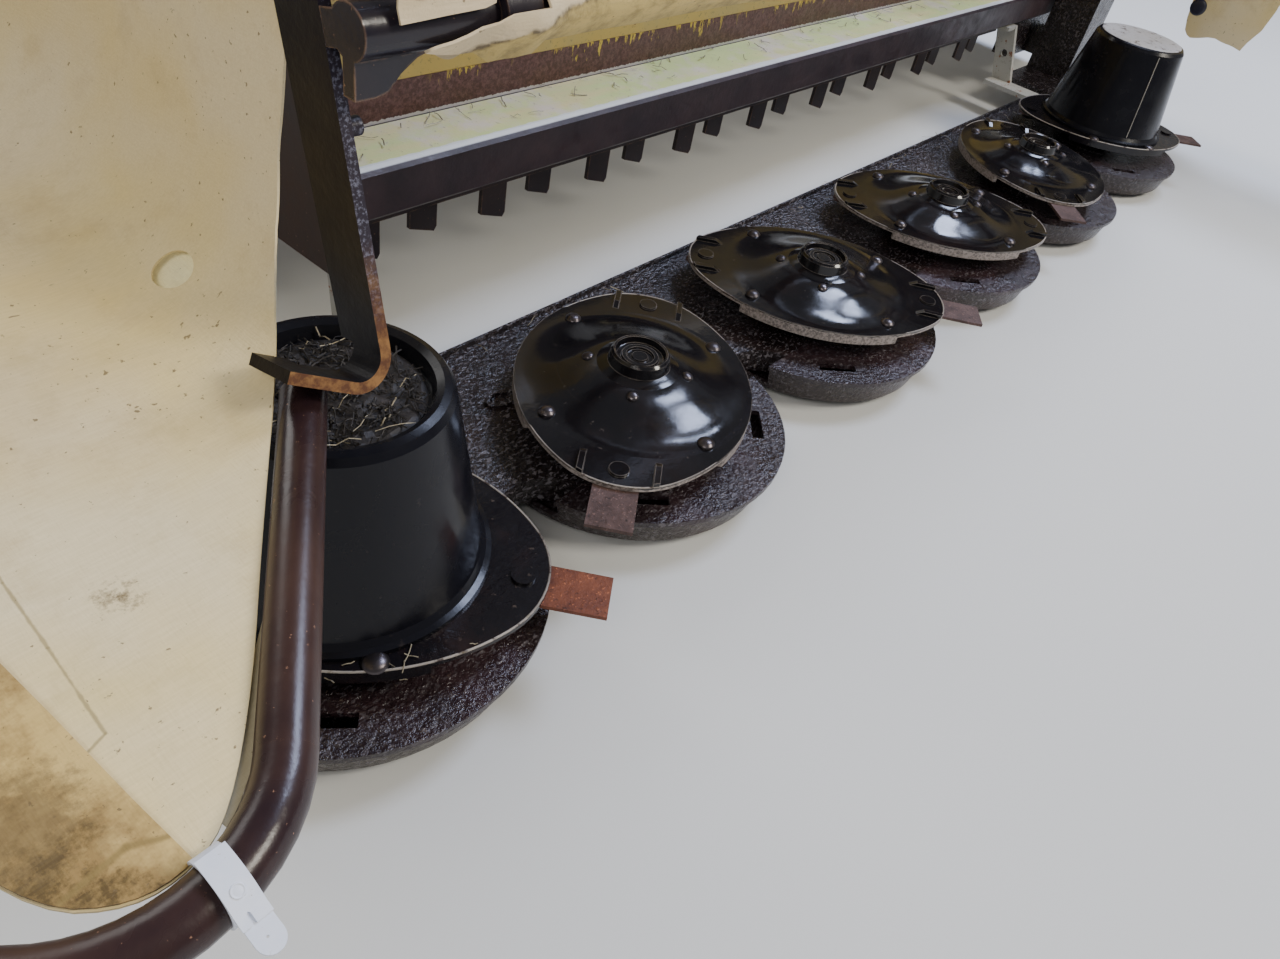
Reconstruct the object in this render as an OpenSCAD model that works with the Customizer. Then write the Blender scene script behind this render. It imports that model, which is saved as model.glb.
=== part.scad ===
// Trailed disc mower conditioner, standing on its wheels, jack and cutterbar.
// Working frame of the modules: X to the machine's right, Y forward, Z up,
// X 0 half way between the two end drums, Y 0 on the line of the rotors, Z 0 on the ground.

/* [Cutterbar] */
// Distance from one rotor to the next
rotor_pitch = 400; // [396:1:410]
// Reach of the bar behind the rotor line
bar_rear = 203; // [195:1:215]
// Reach of the bar in front of the rotor line
bar_front = 55; // [45:1:70]
// Height of the bar's deck over the ground
deck_z = 55; // [50:1:60]
// Thickness of the bar
bar_t = 33; // [28:1:38]
// Height of the raised lip along the rear of the deck
lip_h = 7; // [4:1:12]
// Radius of each skid shoe round its rotor
skid_r = 190; // [180:1:196]
// Plate thickness of a skid shoe
skid_t = 6; // [5:1:8]

/* [Rotors] */
// Half length of an oval disc
disc_a = 186; // [176:1:190]
// Half width of an oval disc
disc_b = 138; // [130:1:150]
// Radius of the disc's rounded ends
disc_end_r = 95; // [85:1:110]
// Plate thickness of a disc
disc_t = 5; // [4:0.5:6]
// Height of the disc's rim over the deck
disc_lift = 38; // [36:1:44]
// Height of the hub cap over the deck
cap_lift = 83; // [78:1:90]
// Radius of the hub cap
cap_r = 34; // [30:1:38]
// Radius of the knife bolts' circle
knife_r = 162; // [156:1:166]
// Length of a knife
knife_len = 102; // [90:1:106]
// Width of a knife
knife_w = 48; // [40:1:50]
// Thickness of a knife
knife_t = 4; // [3:0.5:5]
// Radius of a drum at its top
drum_top_r = 90; // [84:1:96]
// Radius of a drum at its foot
drum_foot_r = 121; // [116:1:126]
// Height of a drum's top over the deck
drum_lift = 223; // [200:1:235]

/* [Conditioner] */
// Right-hand side plate's inner face
side_x_right = 792; // [780:1:800]
// Left-hand side plate's inner face
side_x_left = -1662; // [-1680:1:-1650]
// Thickness of the side plates
side_t = 8; // [6:1:10]
// Front face of the cross beam, behind the rotor line
beam_y = 300; // [290:1:310]
// Depth of the cross beam
beam_d = 95; // [90:1:100]
// Height of the cross beam
beam_h = 63; // [55:1:70]
// Underside of the cross beam
beam_z = 191; // [185:1:200]
// Distance between the comb's fingers
comb_pitch = 100; // [90:1:120]
// Reach of the comb's fingers under the beam
comb_drop = 58; // [45:1:65]
// Axis of the tine rotor behind the rotor line
tine_y = 680; // [670:1:690]
// Axis of the tine rotor over the ground
tine_z = 430; // [420:1:440]
// Radius of the tine rotor's tube
tine_tube_r = 84; // [70:1:95]
// Tip radius of the tines
tine_r = 235; // [220:1:240]
// Sheet thickness of the hood
hood_t = 4; // [3:0.5:6]

/* [Frame] */
// Side of the square main tube
main_w = 120; // [100:5:130]
// Axis of the main tube behind the rotor line
main_y = 450; // [440:1:460]
// Axis of the main tube over the ground
main_z = 985; // [975:1:1000]
// Side of the square drawbar tube
drawbar_w = 110; // [90:5:120]
// Distance of the drawbar's pivot from the middle of the rotors
pivot_x = 1560; // [1550:1:1570]
// Reach of the hitch eye in front of the rotor line
hitch_y = 2900; // [2700:50:3000]
// Height of the hitch eye
hitch_z = 440; // [400:10:480]
// Bore radius of the hitch eye
hitch_r = 25.5; // [25:0.5:28]

/* [Wheels] */
// Outer radius of a tyre
tyre_r = 380; // [360:5:400]
// Width of a tyre
tyre_w = 250; // [220:5:260]
// Radius of a rim
rim_r = 195; // [180:5:205]
// Middle of the right-hand wheel
wheel_x_right = 640; // [630:1:650]
// Middle of the left-hand wheel
wheel_x_left = -1510; // [-1520:1:-1500]
// Axis of the wheels behind the rotor line
wheel_y = 1640; // [1620:5:1660]
// Axis of the lift axle behind the rotor line
lift_y = 1100; // [1090:1:1120]
// Axis of the lift axle over the ground
lift_z = 700; // [690:1:710]

// Radius of the lift axle's tube
lift_r = 50; // [45:1:55]
// Length of the levers on the lift axle and the drawbar
lever = 200; // [190:5:205]
// Radius of the wheel spindles
spindle_r = 25; // [22:1:28]

/* [Guards] */
// Diameter of the guard tubes
guard_d = 30; // [25:1:34]
// Height of the side hoop's nose
hoop_z = 312; // [308:1:320]
// Rise of the side hoop towards the rear, in degrees
hoop_tilt = 5.5; // [4:0.5:7]
// Outer leg of the side hoop
hoop_x = 1380; // [1370:5:1400]
// Bend radius of the side hoop
hoop_bend = 90; // [80:1:100]
// Outer face of the flat bar that hangs the hoop
hanger_x = 1028; // [1024:1:1032]
// Width of the flat bar that hangs the hoop
hanger_w = 42; // [38:1:50]
// Thickness of the flat bar
hanger_t = 8; // [6:1:10]
// Height of the cross tube that carries the front guard
guard_z = 556; // [550:1:570]
// Cross tube's place in front of the rotor line
guard_y = 66; // [60:1:70]
// Reach of the folding front guard
flap_len = 560; // [500:10:600]
// Thickness of the curtains' solids
canvas_t = 5; // [4:1:8]

/* [Hidden] */
$fn = 48;
eps = 1;
gap = 0.3;
rotors = 6;
// Turn of each oval disc at rest, near to far
disc_turn = [125, 35, 125, 132, 42, 132];
// Swing of each disc's two knives about their bolts at rest
knife_swing = [[0, 0], [0, 152], [0, 158], [-125, 150], [0, 155], [0, 150]];
rim_z = deck_z + disc_lift;
drum_top = deck_z + drum_lift;
bar_end = rotor_pitch * (rotors - 1) / 2 + 150;
hub_lift = 22;
side_out = side_x_right + side_t;
side_out_left = side_x_left - side_t;
half_main = main_w / 2;
eye_r = hitch_r + 22;
strap_t = 3.5;
x_high = hoop_x + guard_d / 2 + strap_t;
jack_w = 70;
jack_foot = 180;
jack_y = 2100;
jack_x = -pivot_x - drawbar_w / 2 - gap - jack_w / 2;
x_low = jack_x - jack_foot / 2;
y_high = hitch_y + eye_r;
y_low = -wheel_y - tyre_r;
fit = 0.06;
hoop_front = 300;
hoop_start = [1068, 63];
hoop_rear = -580;
arm_w = 50;
arm_h = 50;
near_arm_x = hanger_x - hanger_t - gap - arm_w;
far_arm_x = -1200;
hanger_lean = 14.2;
hanger_y = 21.5;
hanger_far = far_arm_x - gap - hanger_t;
sleeve_near = hanger_x - 108;
sleeve_far = far_arm_x + arm_w + 25;
drive_x = side_x_left + 302;
drive_y = -beam_y + 30;
drive_z = 700;
gear_half = 80;
shaft_r = 17.45;
far_rail_x = -1455;
far_rail_z = 715;
board_x_near = wheel_x_right - tyre_w / 2 - 135;
board_x_far = wheel_x_left + tyre_w / 2 + 140;
hood_r = tine_r + 55;
outlet_y = -lift_y + 110;
lever_lean = 15;
lift_eye_z = lift_z + lever * cos(lever_lean);
lift_pin_y = -main_y - main_w / 2 - 44;
pin_r = 10;
lift_x = -450;
fork_t = 12;
beam_gap = 5;
drawbar_h = main_w + 2 * beam_gap;
mid_x = (x_high + x_low) / 2;
mid_y = (y_high + y_low) / 2;

function rotor_x(i) = ((rotors - 1) / 2 - i) * rotor_pitch;
function unit(v) = v / norm(v);
// Height of the side hoop's centre line at a place along the machine
function hoop_level(y) = hoop_z + (hoop_front - y) * sin(hoop_tilt);

// Shifts the working frame to the middle of the machine's floor area
module placed() {
  translate([-mid_x, -mid_y, 0]) children();
}

// Round bar from one point to another
module rod(from, to, d) {
  v = to - from;
  translate(from)
    rotate([0, acos(v.z / norm(v)), atan2(v.y, v.x)])
      cylinder(h = norm(v), d = d);
}

// Level tube along corners, each bent to a radius, starting and ending square
module bent_tube(points, bend, d) {
  last = len(points) - 1;
  dirs = [for (i = [0 : last - 1]) unit(points[i + 1] - points[i])];
  turns = [for (i = [1 : last - 1])
    atan2(dirs[i - 1].x * dirs[i].y - dirs[i - 1].y * dirs[i].x, dirs[i - 1] * dirs[i])];
  cuts = [for (t = turns) bend * tan(abs(t) / 2)];
  for (i = [0 : last - 1]) {
    from = points[i] + dirs[i] * (i == 0 ? 0 : cuts[i - 1]);
    to = points[i + 1] - dirs[i] * (i == last - 1 ? 0 : cuts[i]);
    core_from = from - dirs[i] * (i == 0 ? 0 : 3);
    core_to = to + dirs[i] * (i == last - 1 ? 0 : 3);
    rod([from.x, from.y, 0], [to.x, to.y, 0], d);
    rod([core_from.x, core_from.y, 0], [core_to.x, core_to.y, 0], d - 1);
  }
  for (i = [0 : last - 2]) {
    side = sign(turns[i]);
    start = points[i + 1] - dirs[i] * cuts[i];
    across = [-dirs[i].y, dirs[i].x] * side * bend;
    centre = start + across;
    first = atan2(-across.y, -across.x);
    translate([centre.x, centre.y, 0])
      rotate([0, 0, side > 0 ? first : first + turns[i]])
        rotate_extrude(angle = abs(turns[i]))
          translate([bend, 0]) circle(d = d);
  }
}

// Box between two corners
module block(low, high) {
  translate(low) cube(high - low);
}

// Outline drawn in the Y-Z plane, extruded along X
module across(x_from, x_to) {
  translate([x_from, 0, 0])
    rotate([90, 0, 90]) linear_extrude(x_to - x_from) children();
}

// Oval of four arcs
module oval(a, b, end_r) {
  side_r = ((a - end_r) ^ 2 + b ^ 2 - end_r ^ 2) / (2 * (b - end_r));
  split = side_r * (a - end_r) / (side_r - end_r);
  for (s = [-1, 1]) translate([s * (a - end_r), 0]) circle(end_r, $fn = 64);
  intersection() {
    translate([0, side_r - b]) circle(side_r, $fn = 96);
    translate([0, b - side_r]) circle(side_r, $fn = 96);
    square([2 * split, 3 * b], center = true);
  }
}

module cutterbar() {
  color([0.06, 0.05, 0.05]) {
    difference() {
      union() {
        block([-bar_end, -bar_rear, deck_z - bar_t], [bar_end, bar_front, deck_z]);
        for (i = [0 : rotors - 1])
          translate([rotor_x(i), 0, deck_z - eps]) intersection() {
            rotate_extrude() polygon([[0, 0], [84, 0], [84, 4], [62, 10], [58, hub_lift + eps - gap],
              [0, hub_lift + eps - gap]]);
            block([-90, -90, 0], [90, bar_front, 50]);
          }
      }
      for (i = [0 : rotors])
        translate([rotor_x(i) + rotor_pitch / 2, bar_front + 20, deck_z - bar_t - eps])
          cylinder(h = bar_t + 2 * eps, r = 62);
    }
    block([-bar_end, -bar_rear, deck_z - eps], [bar_end, -bar_rear + 4, deck_z + lip_h]);
    translate([rotor_x(0) - 0.72 * rotor_pitch, -bar_rear / 2, deck_z - eps])
      linear_extrude(5) difference() {
        oval(20, 14, 10);
        oval(14, 8, 5);
      }
  }
}

module skid_shoe() {
  lip = skid_r;
  sole = skid_r - 50;
  rear = bar_rear - 30;
  top = deck_z - bar_t - gap;
  // Front lip, curved up from the sole to deck height, clear of the bar
  intersection() {
    rotate_extrude() polygon([[sole, 0], [sole + 20, 3], [sole + 36, 14], [lip - 4, deck_z - skid_t],
      [lip, deck_z - skid_t], [lip, deck_z], [lip - 7, deck_z], [sole + 30, 18], [sole + 16, 9],
      [sole, skid_t]]);
    union() {
      block([-lip, 0, 0], [lip, lip, top]);
      block([-lip, bar_front + gap, 0], [lip, lip, deck_z]);
    }
  }
  // Flat guard plate round the front of the rotor
  difference() {
    translate([0, 0, deck_z - skid_t]) cylinder(h = skid_t, r = lip - eps);
    translate([-lip, -2 * lip + bar_front + gap, 0]) cube([2 * lip, 2 * lip, deck_z + eps]);
    for (a = [48, 132])
      rotate([0, 0, a]) translate([lip - 42, -26, 0]) cube([14, 52, deck_z + eps]);
  }
  // Sole under the bar, with two ribs up to it
  linear_extrude(skid_t) {
    intersection() {
      circle(sole);
      translate([-sole, 0]) square([2 * sole, sole]);
    }
    translate([-sole, -rear]) square([2 * sole, rear + eps]);
  }
  for (s = [-1, 1])
    block([s * sole * 0.6 - 4, -rear, skid_t - eps], [s * sole * 0.6 + 4, bar_front - 10, top]);
}

module skid_shoes() {
  color([0.10, 0.06, 0.05])
    for (i = [0 : rotors - 1]) translate([rotor_x(i), 0, 0]) skid_shoe();
}

// Brackets that hang the bar from the side frames, one past each end drum
module bar_brackets() {
  foot_top = deck_z + lip_h + 10;
  near = side_x_right - 12 - gap;
  far = -rotor_pitch * (rotors - 1) / 2 - 60;
  color([0.72, 0.70, 0.62]) {
    for (x = [near - 44, far - 50])
      across(x, x + 56)
        polygon([[-bar_rear + 38, deck_z + gap], [-bar_rear + 8, deck_z + gap], [-bar_rear + 8, deck_z + lip_h + gap],
          [-beam_y, deck_z + lip_h + gap], [-beam_y, foot_top], [-bar_rear + 38, foot_top]]);
    // Near web, bolted to the inside of the side plate
    across(near, near + 12)
      polygon([[-bar_rear - 50, foot_top - eps], [-beam_y, foot_top - eps], [-beam_y - 8, 150],
        [-beam_y - 8, beam_z - gap], [-beam_y + gap, beam_z - gap], [-beam_y + gap, beam_z + 60],
        [-beam_y + 30, beam_z + 60]]);
    // Far web, bolted under the beam
    difference() {
      across(far - 50, far - 38)
        polygon([[-bar_rear - 50, foot_top - eps], [-beam_y, foot_top - eps], [-beam_y - 40, beam_z - gap],
          [-beam_y + 6, beam_z - gap]]);
      translate([far, -beam_y + 4, 128]) rotate([0, 90, 0]) cylinder(h = 120, r = 9, center = true);
    }
    block([far - 50, -beam_y - 40, beam_z - 8 - gap], [far, -beam_y + 6, beam_z - gap]);
  }
}

// Pressed oval disc with hub cap, flat lobes for the knives and turned-down side rims
module disc(turn) {
  slope = [[0, cap_lift - 7], [9, cap_lift - 7], [10, cap_lift - 9], [15, cap_lift - 9], [16, cap_lift - 6],
    [21, cap_lift - 6], [22, cap_lift - 9], [27, cap_lift - 8], [cap_r - 5, cap_lift - 1], [cap_r - 3, cap_lift],
    [cap_r, cap_lift - 3], [cap_r + 2, disc_lift + 30], [cap_r + 14, disc_lift + 26], [disc_b * 0.66, disc_lift + 13], [disc_b, disc_lift + disc_t + 1],
    [disc_a + eps, disc_lift + disc_t]];
  under = [[disc_a + eps, disc_lift], [disc_b, disc_lift + 1], [disc_b * 0.66, disc_lift + 13 - disc_t],
    [cap_r + 26, disc_lift + 14], [cap_r + 20, hub_lift], [0, hub_lift]];
  rotate([0, 0, turn]) {
    intersection() {
      translate([0, 0, deck_z]) rotate_extrude() polygon(concat(slope, under));
      translate([0, 0, deck_z]) linear_extrude(cap_lift + eps) oval(disc_a, disc_b, disc_end_r);
    }
    // Turned-down rim along both long sides
    translate([0, 0, rim_z - 9])
      linear_extrude(11) intersection() {
        difference() {
          oval(disc_a, disc_b, disc_end_r);
          oval(disc_a - 5, disc_b - 5, disc_end_r - 5);
        }
        square([disc_a * 1.16, 3 * disc_b], center = true);
      }
    lobe_shoulders();
    knife_bolts();
  }
}

// Raised shoulders on both sides of each knife bolt, running out to the rim
module lobe_shoulders() {
  intersection() {
    for (s = [-1, 1], t = [-1, 1])
      translate([s * knife_r, t * 40 + 3.5, rim_z + disc_t])
        rotate([90, 0, 0]) linear_extrude(7)
          polygon([[-s * 26, -1], [-s * 12, 6], [s * 22, 5], [s * 22, -1]]);
    translate([0, 0, rim_z]) linear_extrude(20) oval(disc_a - 0.5, disc_b - 0.5, disc_end_r - 0.5);
  }
}

// Bolt heads over and collars under the two knife lobes
module knife_bolts() {
  for (s = [-1, 1])
    translate([s * knife_r, 0, 0]) {
      translate([0, 0, rim_z + disc_t - eps]) cylinder(h = 4, r = 11);
      translate([0, 0, rim_z - knife_t - 2 * gap]) cylinder(h = knife_t + 2 * gap + eps, r = 9);
      translate([0, 0, rim_z - knife_t - 8]) cylinder(h = 8 - 2 * gap, r = 15);
    }
}

module knives(turn, swing) {
  tail = 22;
  color([0.36, 0.17, 0.10])
    rotate([0, 0, turn])
      for (k = [0, 1])
        rotate([0, 0, k * 180]) translate([knife_r, 0, rim_z - knife_t - gap])
          rotate([0, 0, swing[k]]) linear_extrude(knife_t) difference() {
            polygon([[-tail, -knife_w / 2 + 8], [-tail + 8, -knife_w / 2], [knife_len - tail, -knife_w / 2],
              [knife_len - tail, knife_w / 2], [-tail + 8, knife_w / 2], [-tail, knife_w / 2 - 8]]);
            circle(9 + gap);
          }
}

// Oval carrier disc under a drum
module carrier(turn) {
  rotate([0, 0, turn]) {
    intersection() {
      translate([0, 0, deck_z])
        rotate_extrude() polygon([[0, hub_lift], [50, hub_lift], [56, disc_lift], [disc_a + eps, disc_lift],
          [disc_a + eps, disc_lift + disc_t], [0, disc_lift + disc_t]]);
      translate([0, 0, deck_z]) linear_extrude(disc_lift + disc_t + eps) oval(disc_a, disc_b, disc_end_r);
    }
    translate([0, 0, rim_z - 9])
      linear_extrude(11) intersection() {
        difference() {
          oval(disc_a, disc_b, disc_end_r);
          oval(disc_a - 5, disc_b - 5, disc_end_r - 5);
        }
        square([disc_a * 1.16, 3 * disc_b], center = true);
      }
    knife_bolts();
  }
}

// Tapered drum shell; a dished top for the near one, a flat lid for the far one
module drum(dish) {
  foot = rim_z + disc_t + gap;
  wall = 4;
  translate([0, 0, 0])
    rotate_extrude($fn = 64)
      polygon(concat(
        [[disc_b - 8, foot], [disc_b - 8, foot + 4], [drum_foot_r + 4, foot + 6], [drum_foot_r, foot + 12],
          [drum_top_r + 2, drum_top - 8], [drum_top_r - 2, drum_top - 2], [drum_top_r - 8, drum_top]],
        dish > 0
          ? [[drum_top_r - 14, drum_top - 3], [drum_top_r - 18, drum_top - dish], [0, drum_top - dish],
            [0, drum_top - dish - wall], [drum_top_r - 12, drum_top - dish - wall]]
          : [[0, drum_top], [0, drum_top - wall], [drum_top_r - 9, drum_top - wall]],
        [[drum_foot_r - wall, foot + 12], [drum_foot_r - wall, foot]]));
}

module near_drum() {
  color([0.05, 0.05, 0.06]) translate([rotor_x(0), 0, 0]) drum(14);
}

module far_drum() {
  color([0.05, 0.05, 0.06]) translate([rotor_x(rotors - 1), 0, 0]) drum(0);
}

module near_disc() {
  color([0.07, 0.06, 0.06]) translate([rotor_x(0), 0, 0]) carrier(disc_turn[0]);
}

module far_disc() {
  color([0.07, 0.06, 0.06]) translate([rotor_x(rotors - 1), 0, 0]) carrier(disc_turn[rotors - 1]);
}

module domed(i) {
  color([0.06, 0.05, 0.05]) translate([rotor_x(i), 0, 0]) disc(disc_turn[i]);
}

module knife_pair(i) {
  translate([rotor_x(i), 0, 0]) knives(disc_turn[i], knife_swing[i]);
}

// Folded beam behind the rotors, open to the rear
module cross_beam() {
  wall = 6;
  top = beam_z + beam_h;
  color([0.78, 0.72, 0.52])
    across(side_x_left, side_x_right)
      polygon([[-beam_y - beam_d, top + 46], [-beam_y - beam_d, beam_z + 24], [-beam_y - beam_d + wall, beam_z + 24],
        [-beam_y - beam_d + wall, top - wall], [-beam_y - wall, top - wall], [-beam_y - wall, beam_z + wall],
        [-beam_y - 40, beam_z + wall], [-beam_y - 40, beam_z], [-beam_y - 5, beam_z], [-beam_y, beam_z + 5],
        [-beam_y, top - 8], [-beam_y - 8, top], [-beam_y - beam_d + wall, top],
        [-beam_y - beam_d + wall, top + 46]]);
}

// Fingers in two staggered rows under the beam
module crop_comb() {
  near = side_x_right - 22;
  far = -rotor_pitch * (rotors - 1) / 2 - 20;
  count = floor((near - far - 70) / comb_pitch);
  color([0.09, 0.07, 0.08]) {
    block([far, -beam_y - 39, beam_z - 6 - gap], [near, -beam_y - 8, beam_z - gap]);
    for (k = [0 : count])
      translate([near - 35 - k * comb_pitch, -beam_y - (k % 2 == 0 ? 14 : 31), 0])
        rotate([90, 0, 0]) linear_extrude(6)
          polygon([[-21, beam_z - 5], [21, beam_z - 5], [21, beam_z - comb_drop * 0.78],
            [-17, beam_z - comb_drop], [-21, beam_z - comb_drop + 6]]);
  }
}

// Side frames of the conditioner, left and right
module side_outline() {
  difference() {
    polygon([[-beam_y + 12, beam_z - 40], [-beam_y + 12, beam_z + 90], [-main_y + 100, main_z - 200],
      [-main_y + 100, main_z + half_main + 25], [-main_y - 100, main_z + half_main + 25],
      [-lift_y + 70, lift_z + 75], [-lift_y - 60, lift_z + 75], [-lift_y - 80, lift_z - 60],
      [-lift_y - 20, tine_z], [-lift_y + 60, 230], [-tine_y - 120, 150], [-beam_y - 60, 150]]);
    translate([-tine_y, tine_z]) circle(25 + fit);
    translate([-lift_y, lift_z]) circle(lift_r + fit, $fn = 64);
    translate([-main_y, main_z]) square(main_w + 2 * gap, center = true);
  }
}

module side_plates() {
  color([0.30, 0.20, 0.14]) {
    across(side_x_right + gap, side_out) side_outline();
    across(side_out_left, side_x_left - gap) side_outline();
    for (x = [side_out - eps, side_out_left - 24])
      across(x, x + 25)
        translate([-tine_y, tine_z]) difference() {
          circle(64);
          circle(25 + fit);
        }
  }
}

// Curved sheet over the tine rotor, from the beam's upstand to the outlet
module hood() {
  low = beam_z + beam_h + 46 + gap;
  shelf = tine_z + hood_r;
  color([0.80, 0.72, 0.40])
    across(side_x_left + gap, side_x_right - gap) {
      translate([-tine_y + hood_r - hood_t, low]) square([hood_t, tine_z - low + eps]);
      intersection() {
        translate([-tine_y, tine_z]) difference() {
          circle(hood_r, $fn = 96);
          circle(hood_r - hood_t, $fn = 96);
        }
        translate([-tine_y, tine_z]) square(hood_r + eps);
      }
      polygon([[-tine_y + eps, shelf - hood_t], [-tine_y + eps, shelf], [outlet_y, shelf - 12],
        [outlet_y, shelf - 60], [outlet_y + hood_t, shelf - 60], [outlet_y + hood_t, shelf - 12 - hood_t]]);
    }
  // Hinge rods of the swath boards
  color([0.5, 0.5, 0.5])
    for (x = [board_x_near, board_x_far]) {
      block([x - 30, outlet_y - 55, shelf - 60], [x + 30, outlet_y + eps, shelf - 50]);
      translate([x, outlet_y - 30, 250]) cylinder(h = shelf - 59 - 250, r = 8);
      translate([x, outlet_y - 30, 240]) cylinder(h = 11, r = 15);
    }
}

// Tube with bolted tines in staggered pairs round it
module tine_rotor() {
  rows = 6;
  step = 150;
  last = floor((side_x_right - side_x_left - 250) / step);
  color([0.12, 0.09, 0.09])
    translate([0, -tine_y, tine_z])
      rotate([0, 90, 0]) {
        translate([0, 0, side_x_left + 30]) difference() {
          cylinder(h = side_x_right - side_x_left - 60, r = tine_tube_r);
          translate([0, 0, 10]) cylinder(h = side_x_right - side_x_left - 80, r = tine_tube_r - 8);
        }
        for (x = [side_x_left - side_t - 22, side_x_right - 31])
          translate([0, 0, x]) cylinder(h = side_t + 53, r = 25);
        for (k = [0 : last], s = [-1, 1])
          translate([0, 0, side_x_left + 120 + k * step + s * 14])
            for (a = [0, 180])
              rotate([0, 0, k * 180 / rows + a]) translate([tine_tube_r - 4, -14, -4])
                cube([tine_r - tine_tube_r + 4, 28, 8]);
      }
}

// Board that narrows the swath, on a hinge rod under the hood's outlet
module swath_board(side) {
  top = tine_z + 180;
  low = 252;
  turn = -side * 14;
  color([0.36, 0.24, 0.16])
    translate([side > 0 ? board_x_near : board_x_far, outlet_y - 30, 0]) {
      for (z = [low, top - 40])
        translate([0, 0, z]) difference() {
          cylinder(h = 40, r = 15);
          translate([0, 0, -eps]) cylinder(h = 40 + 2 * eps, r = 8 + fit);
        }
      rotate([0, 0, turn]) {
        block([-2, -500, low], [2, -13, top]);
        for (z = [low, top - 24])
          block([-7, -500, z], [7, -30, z + 4]);
        for (k = [1 : 4])
          block([-6, -k * 110 - 3, low], [6, -k * 110 + 3, top]);
      }
    }
}

module main_frame() {
  left = side_out_left - 12;
  right = near_arm_x + arm_w;
  color([0.16, 0.10, 0.08]) {
    difference() {
      union() {
        difference() {
          translate([left, -main_y - half_main, main_z - half_main]) cube([right - left, main_w, main_w]);
          translate([left - eps, -main_y - half_main + 8, main_z - half_main + 8])
            cube([right - left + 2 * eps, main_w - 16, main_w - 16]);
        }
        translate([-pivot_x, -main_y, main_z - half_main + eps]) cylinder(h = main_w - 2 * eps, r = 38);
      }
      translate([-pivot_x, -main_y, main_z - half_main - eps]) cylinder(h = main_w + 2 * eps, r = spindle_r + fit);
    }
    // Arms forward to the guard's hangers
    for (x = [near_arm_x, far_arm_x])
      block([x, -main_y + half_main - eps, main_z - arm_h / 2], [x + arm_w, -50, main_z + arm_h / 2]);
    // Lugs for the cylinders and the gearbox's hanger
    for (x = [lift_x - 26, lift_x + 14])
      across(x, x + 12) difference() {
        polygon([[-main_y - half_main + eps, main_z - half_main + 4], [-main_y - half_main + eps, main_z + 10],
          [lift_pin_y - 26, lift_eye_z + 22], [lift_pin_y - 26, lift_eye_z - 26], [lift_pin_y + 26, lift_eye_z - 26]]);
        translate([lift_pin_y, lift_eye_z]) circle(pin_r + fit);
      }
    block([-1078, -main_y - half_main - 236, main_z + half_main - 14],
      [-1020, -main_y - half_main + eps, main_z + half_main - 2]);
    block([drive_x - 40, -main_y + half_main - eps, main_z - half_main],
      [drive_x + 40, -main_y + half_main + 70, main_z - 40]);
    block([drive_x - 40, -main_y + half_main + 20, drive_z + gear_half + gap],
      [drive_x + 40, -main_y + half_main + 70, main_z - half_main + eps]);
  }
}

// Closed column that takes the drive from the gearbox down to the bar's far end
module drive_housing() {
  foot_y = -beam_y + 8;
  half = 60;
  low = deck_z - 15;
  color([0.07, 0.06, 0.08]) {
    block([drive_x - half, foot_y, low + 30], [drive_x + half, drive_y + gear_half, drive_z - gear_half - gap]);
    block([drive_x - half - 1, foot_y, low], [-bar_end - gap, -bar_rear + 103, deck_z + lip_h + 10]);
    // Plate under the beam
    block([side_x_left + 4, -beam_y - 60, beam_z - 95], [-bar_end - 50, -beam_y - 20, beam_z - gap]);
    block([drive_x - 40, -beam_y - 30, beam_z - 95], [drive_x + 40, foot_y + eps, beam_z - 41]);
  }
}

module gearbox() {
  boss = drive_y + gear_half;
  color([0.15, 0.11, 0.10])
    difference() {
      union() {
        block([drive_x - gear_half, drive_y - gear_half, drive_z - gear_half],
          [drive_x + gear_half, boss, drive_z + gear_half]);
        translate([drive_x, boss - eps, drive_z]) rotate([-90, 0, 0]) cylinder(h = 31, r = 44);
        translate([drive_x, drive_y - gear_half - eps, drive_z]) rotate([-90, 0, 0]) cylinder(h = 10, r = 60);
      }
      translate([drive_x, boss - 40, drive_z]) rotate([-90, 0, 0]) cylinder(h = 80, r = shaft_r + 6 + fit);
    }
}

// Input shaft with a thicker journal inside the boss
module input_shaft() {
  boss = drive_y + gear_half;
  color([0.55, 0.55, 0.55])
    translate([drive_x, boss, drive_z]) rotate([-90, 0, 0]) {
      translate([0, 0, -38]) cylinder(h = 68, r = shaft_r + 6);
      cylinder(h = 140, r = shaft_r);
    }
}

// Shifts from the hangers' leaning line to the working frame
module leaning() {
  translate([0, hanger_y, guard_z]) rotate([hanger_lean, 0, 0]) children();
}

// Cross tube in front of the hangers, with a flared gusset at each end
module guard_tube() {
  color([0.10, 0.07, 0.08]) {
    rod([hanger_far, guard_y, guard_z], [hanger_x, guard_y, guard_z], guard_d);
    // Columns: outer end, direction inwards
    for (end = [[hanger_x, -1], [hanger_far, 1]]) {
      translate([end[0], guard_y + 5, guard_z - guard_d / 2])
        rotate([90, 0, 0]) linear_extrude(10)
          polygon([[0, 4], [0, -20], [end[1] * 14, -20], [end[1] * 22, -18], [end[1] * 31, -9], [end[1] * 42, -2],
            [end[1] * 56, 2], [end[1] * 56, 4]]);
      leaning() block([end[1] < 0 ? end[0] - hanger_t : end[0], hanger_w / 2 + gap, -20],
        [end[1] < 0 ? end[0] : end[0] + hanger_t, hanger_w / 2 + 20, 0]);
    }
  }
}

// Points of an arc about 0
function arc_points(r, from, to) = [for (k = [0 : 12]) let(a = from + (to - from) * k / 12) [r * cos(a), r * sin(a)]];

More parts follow.
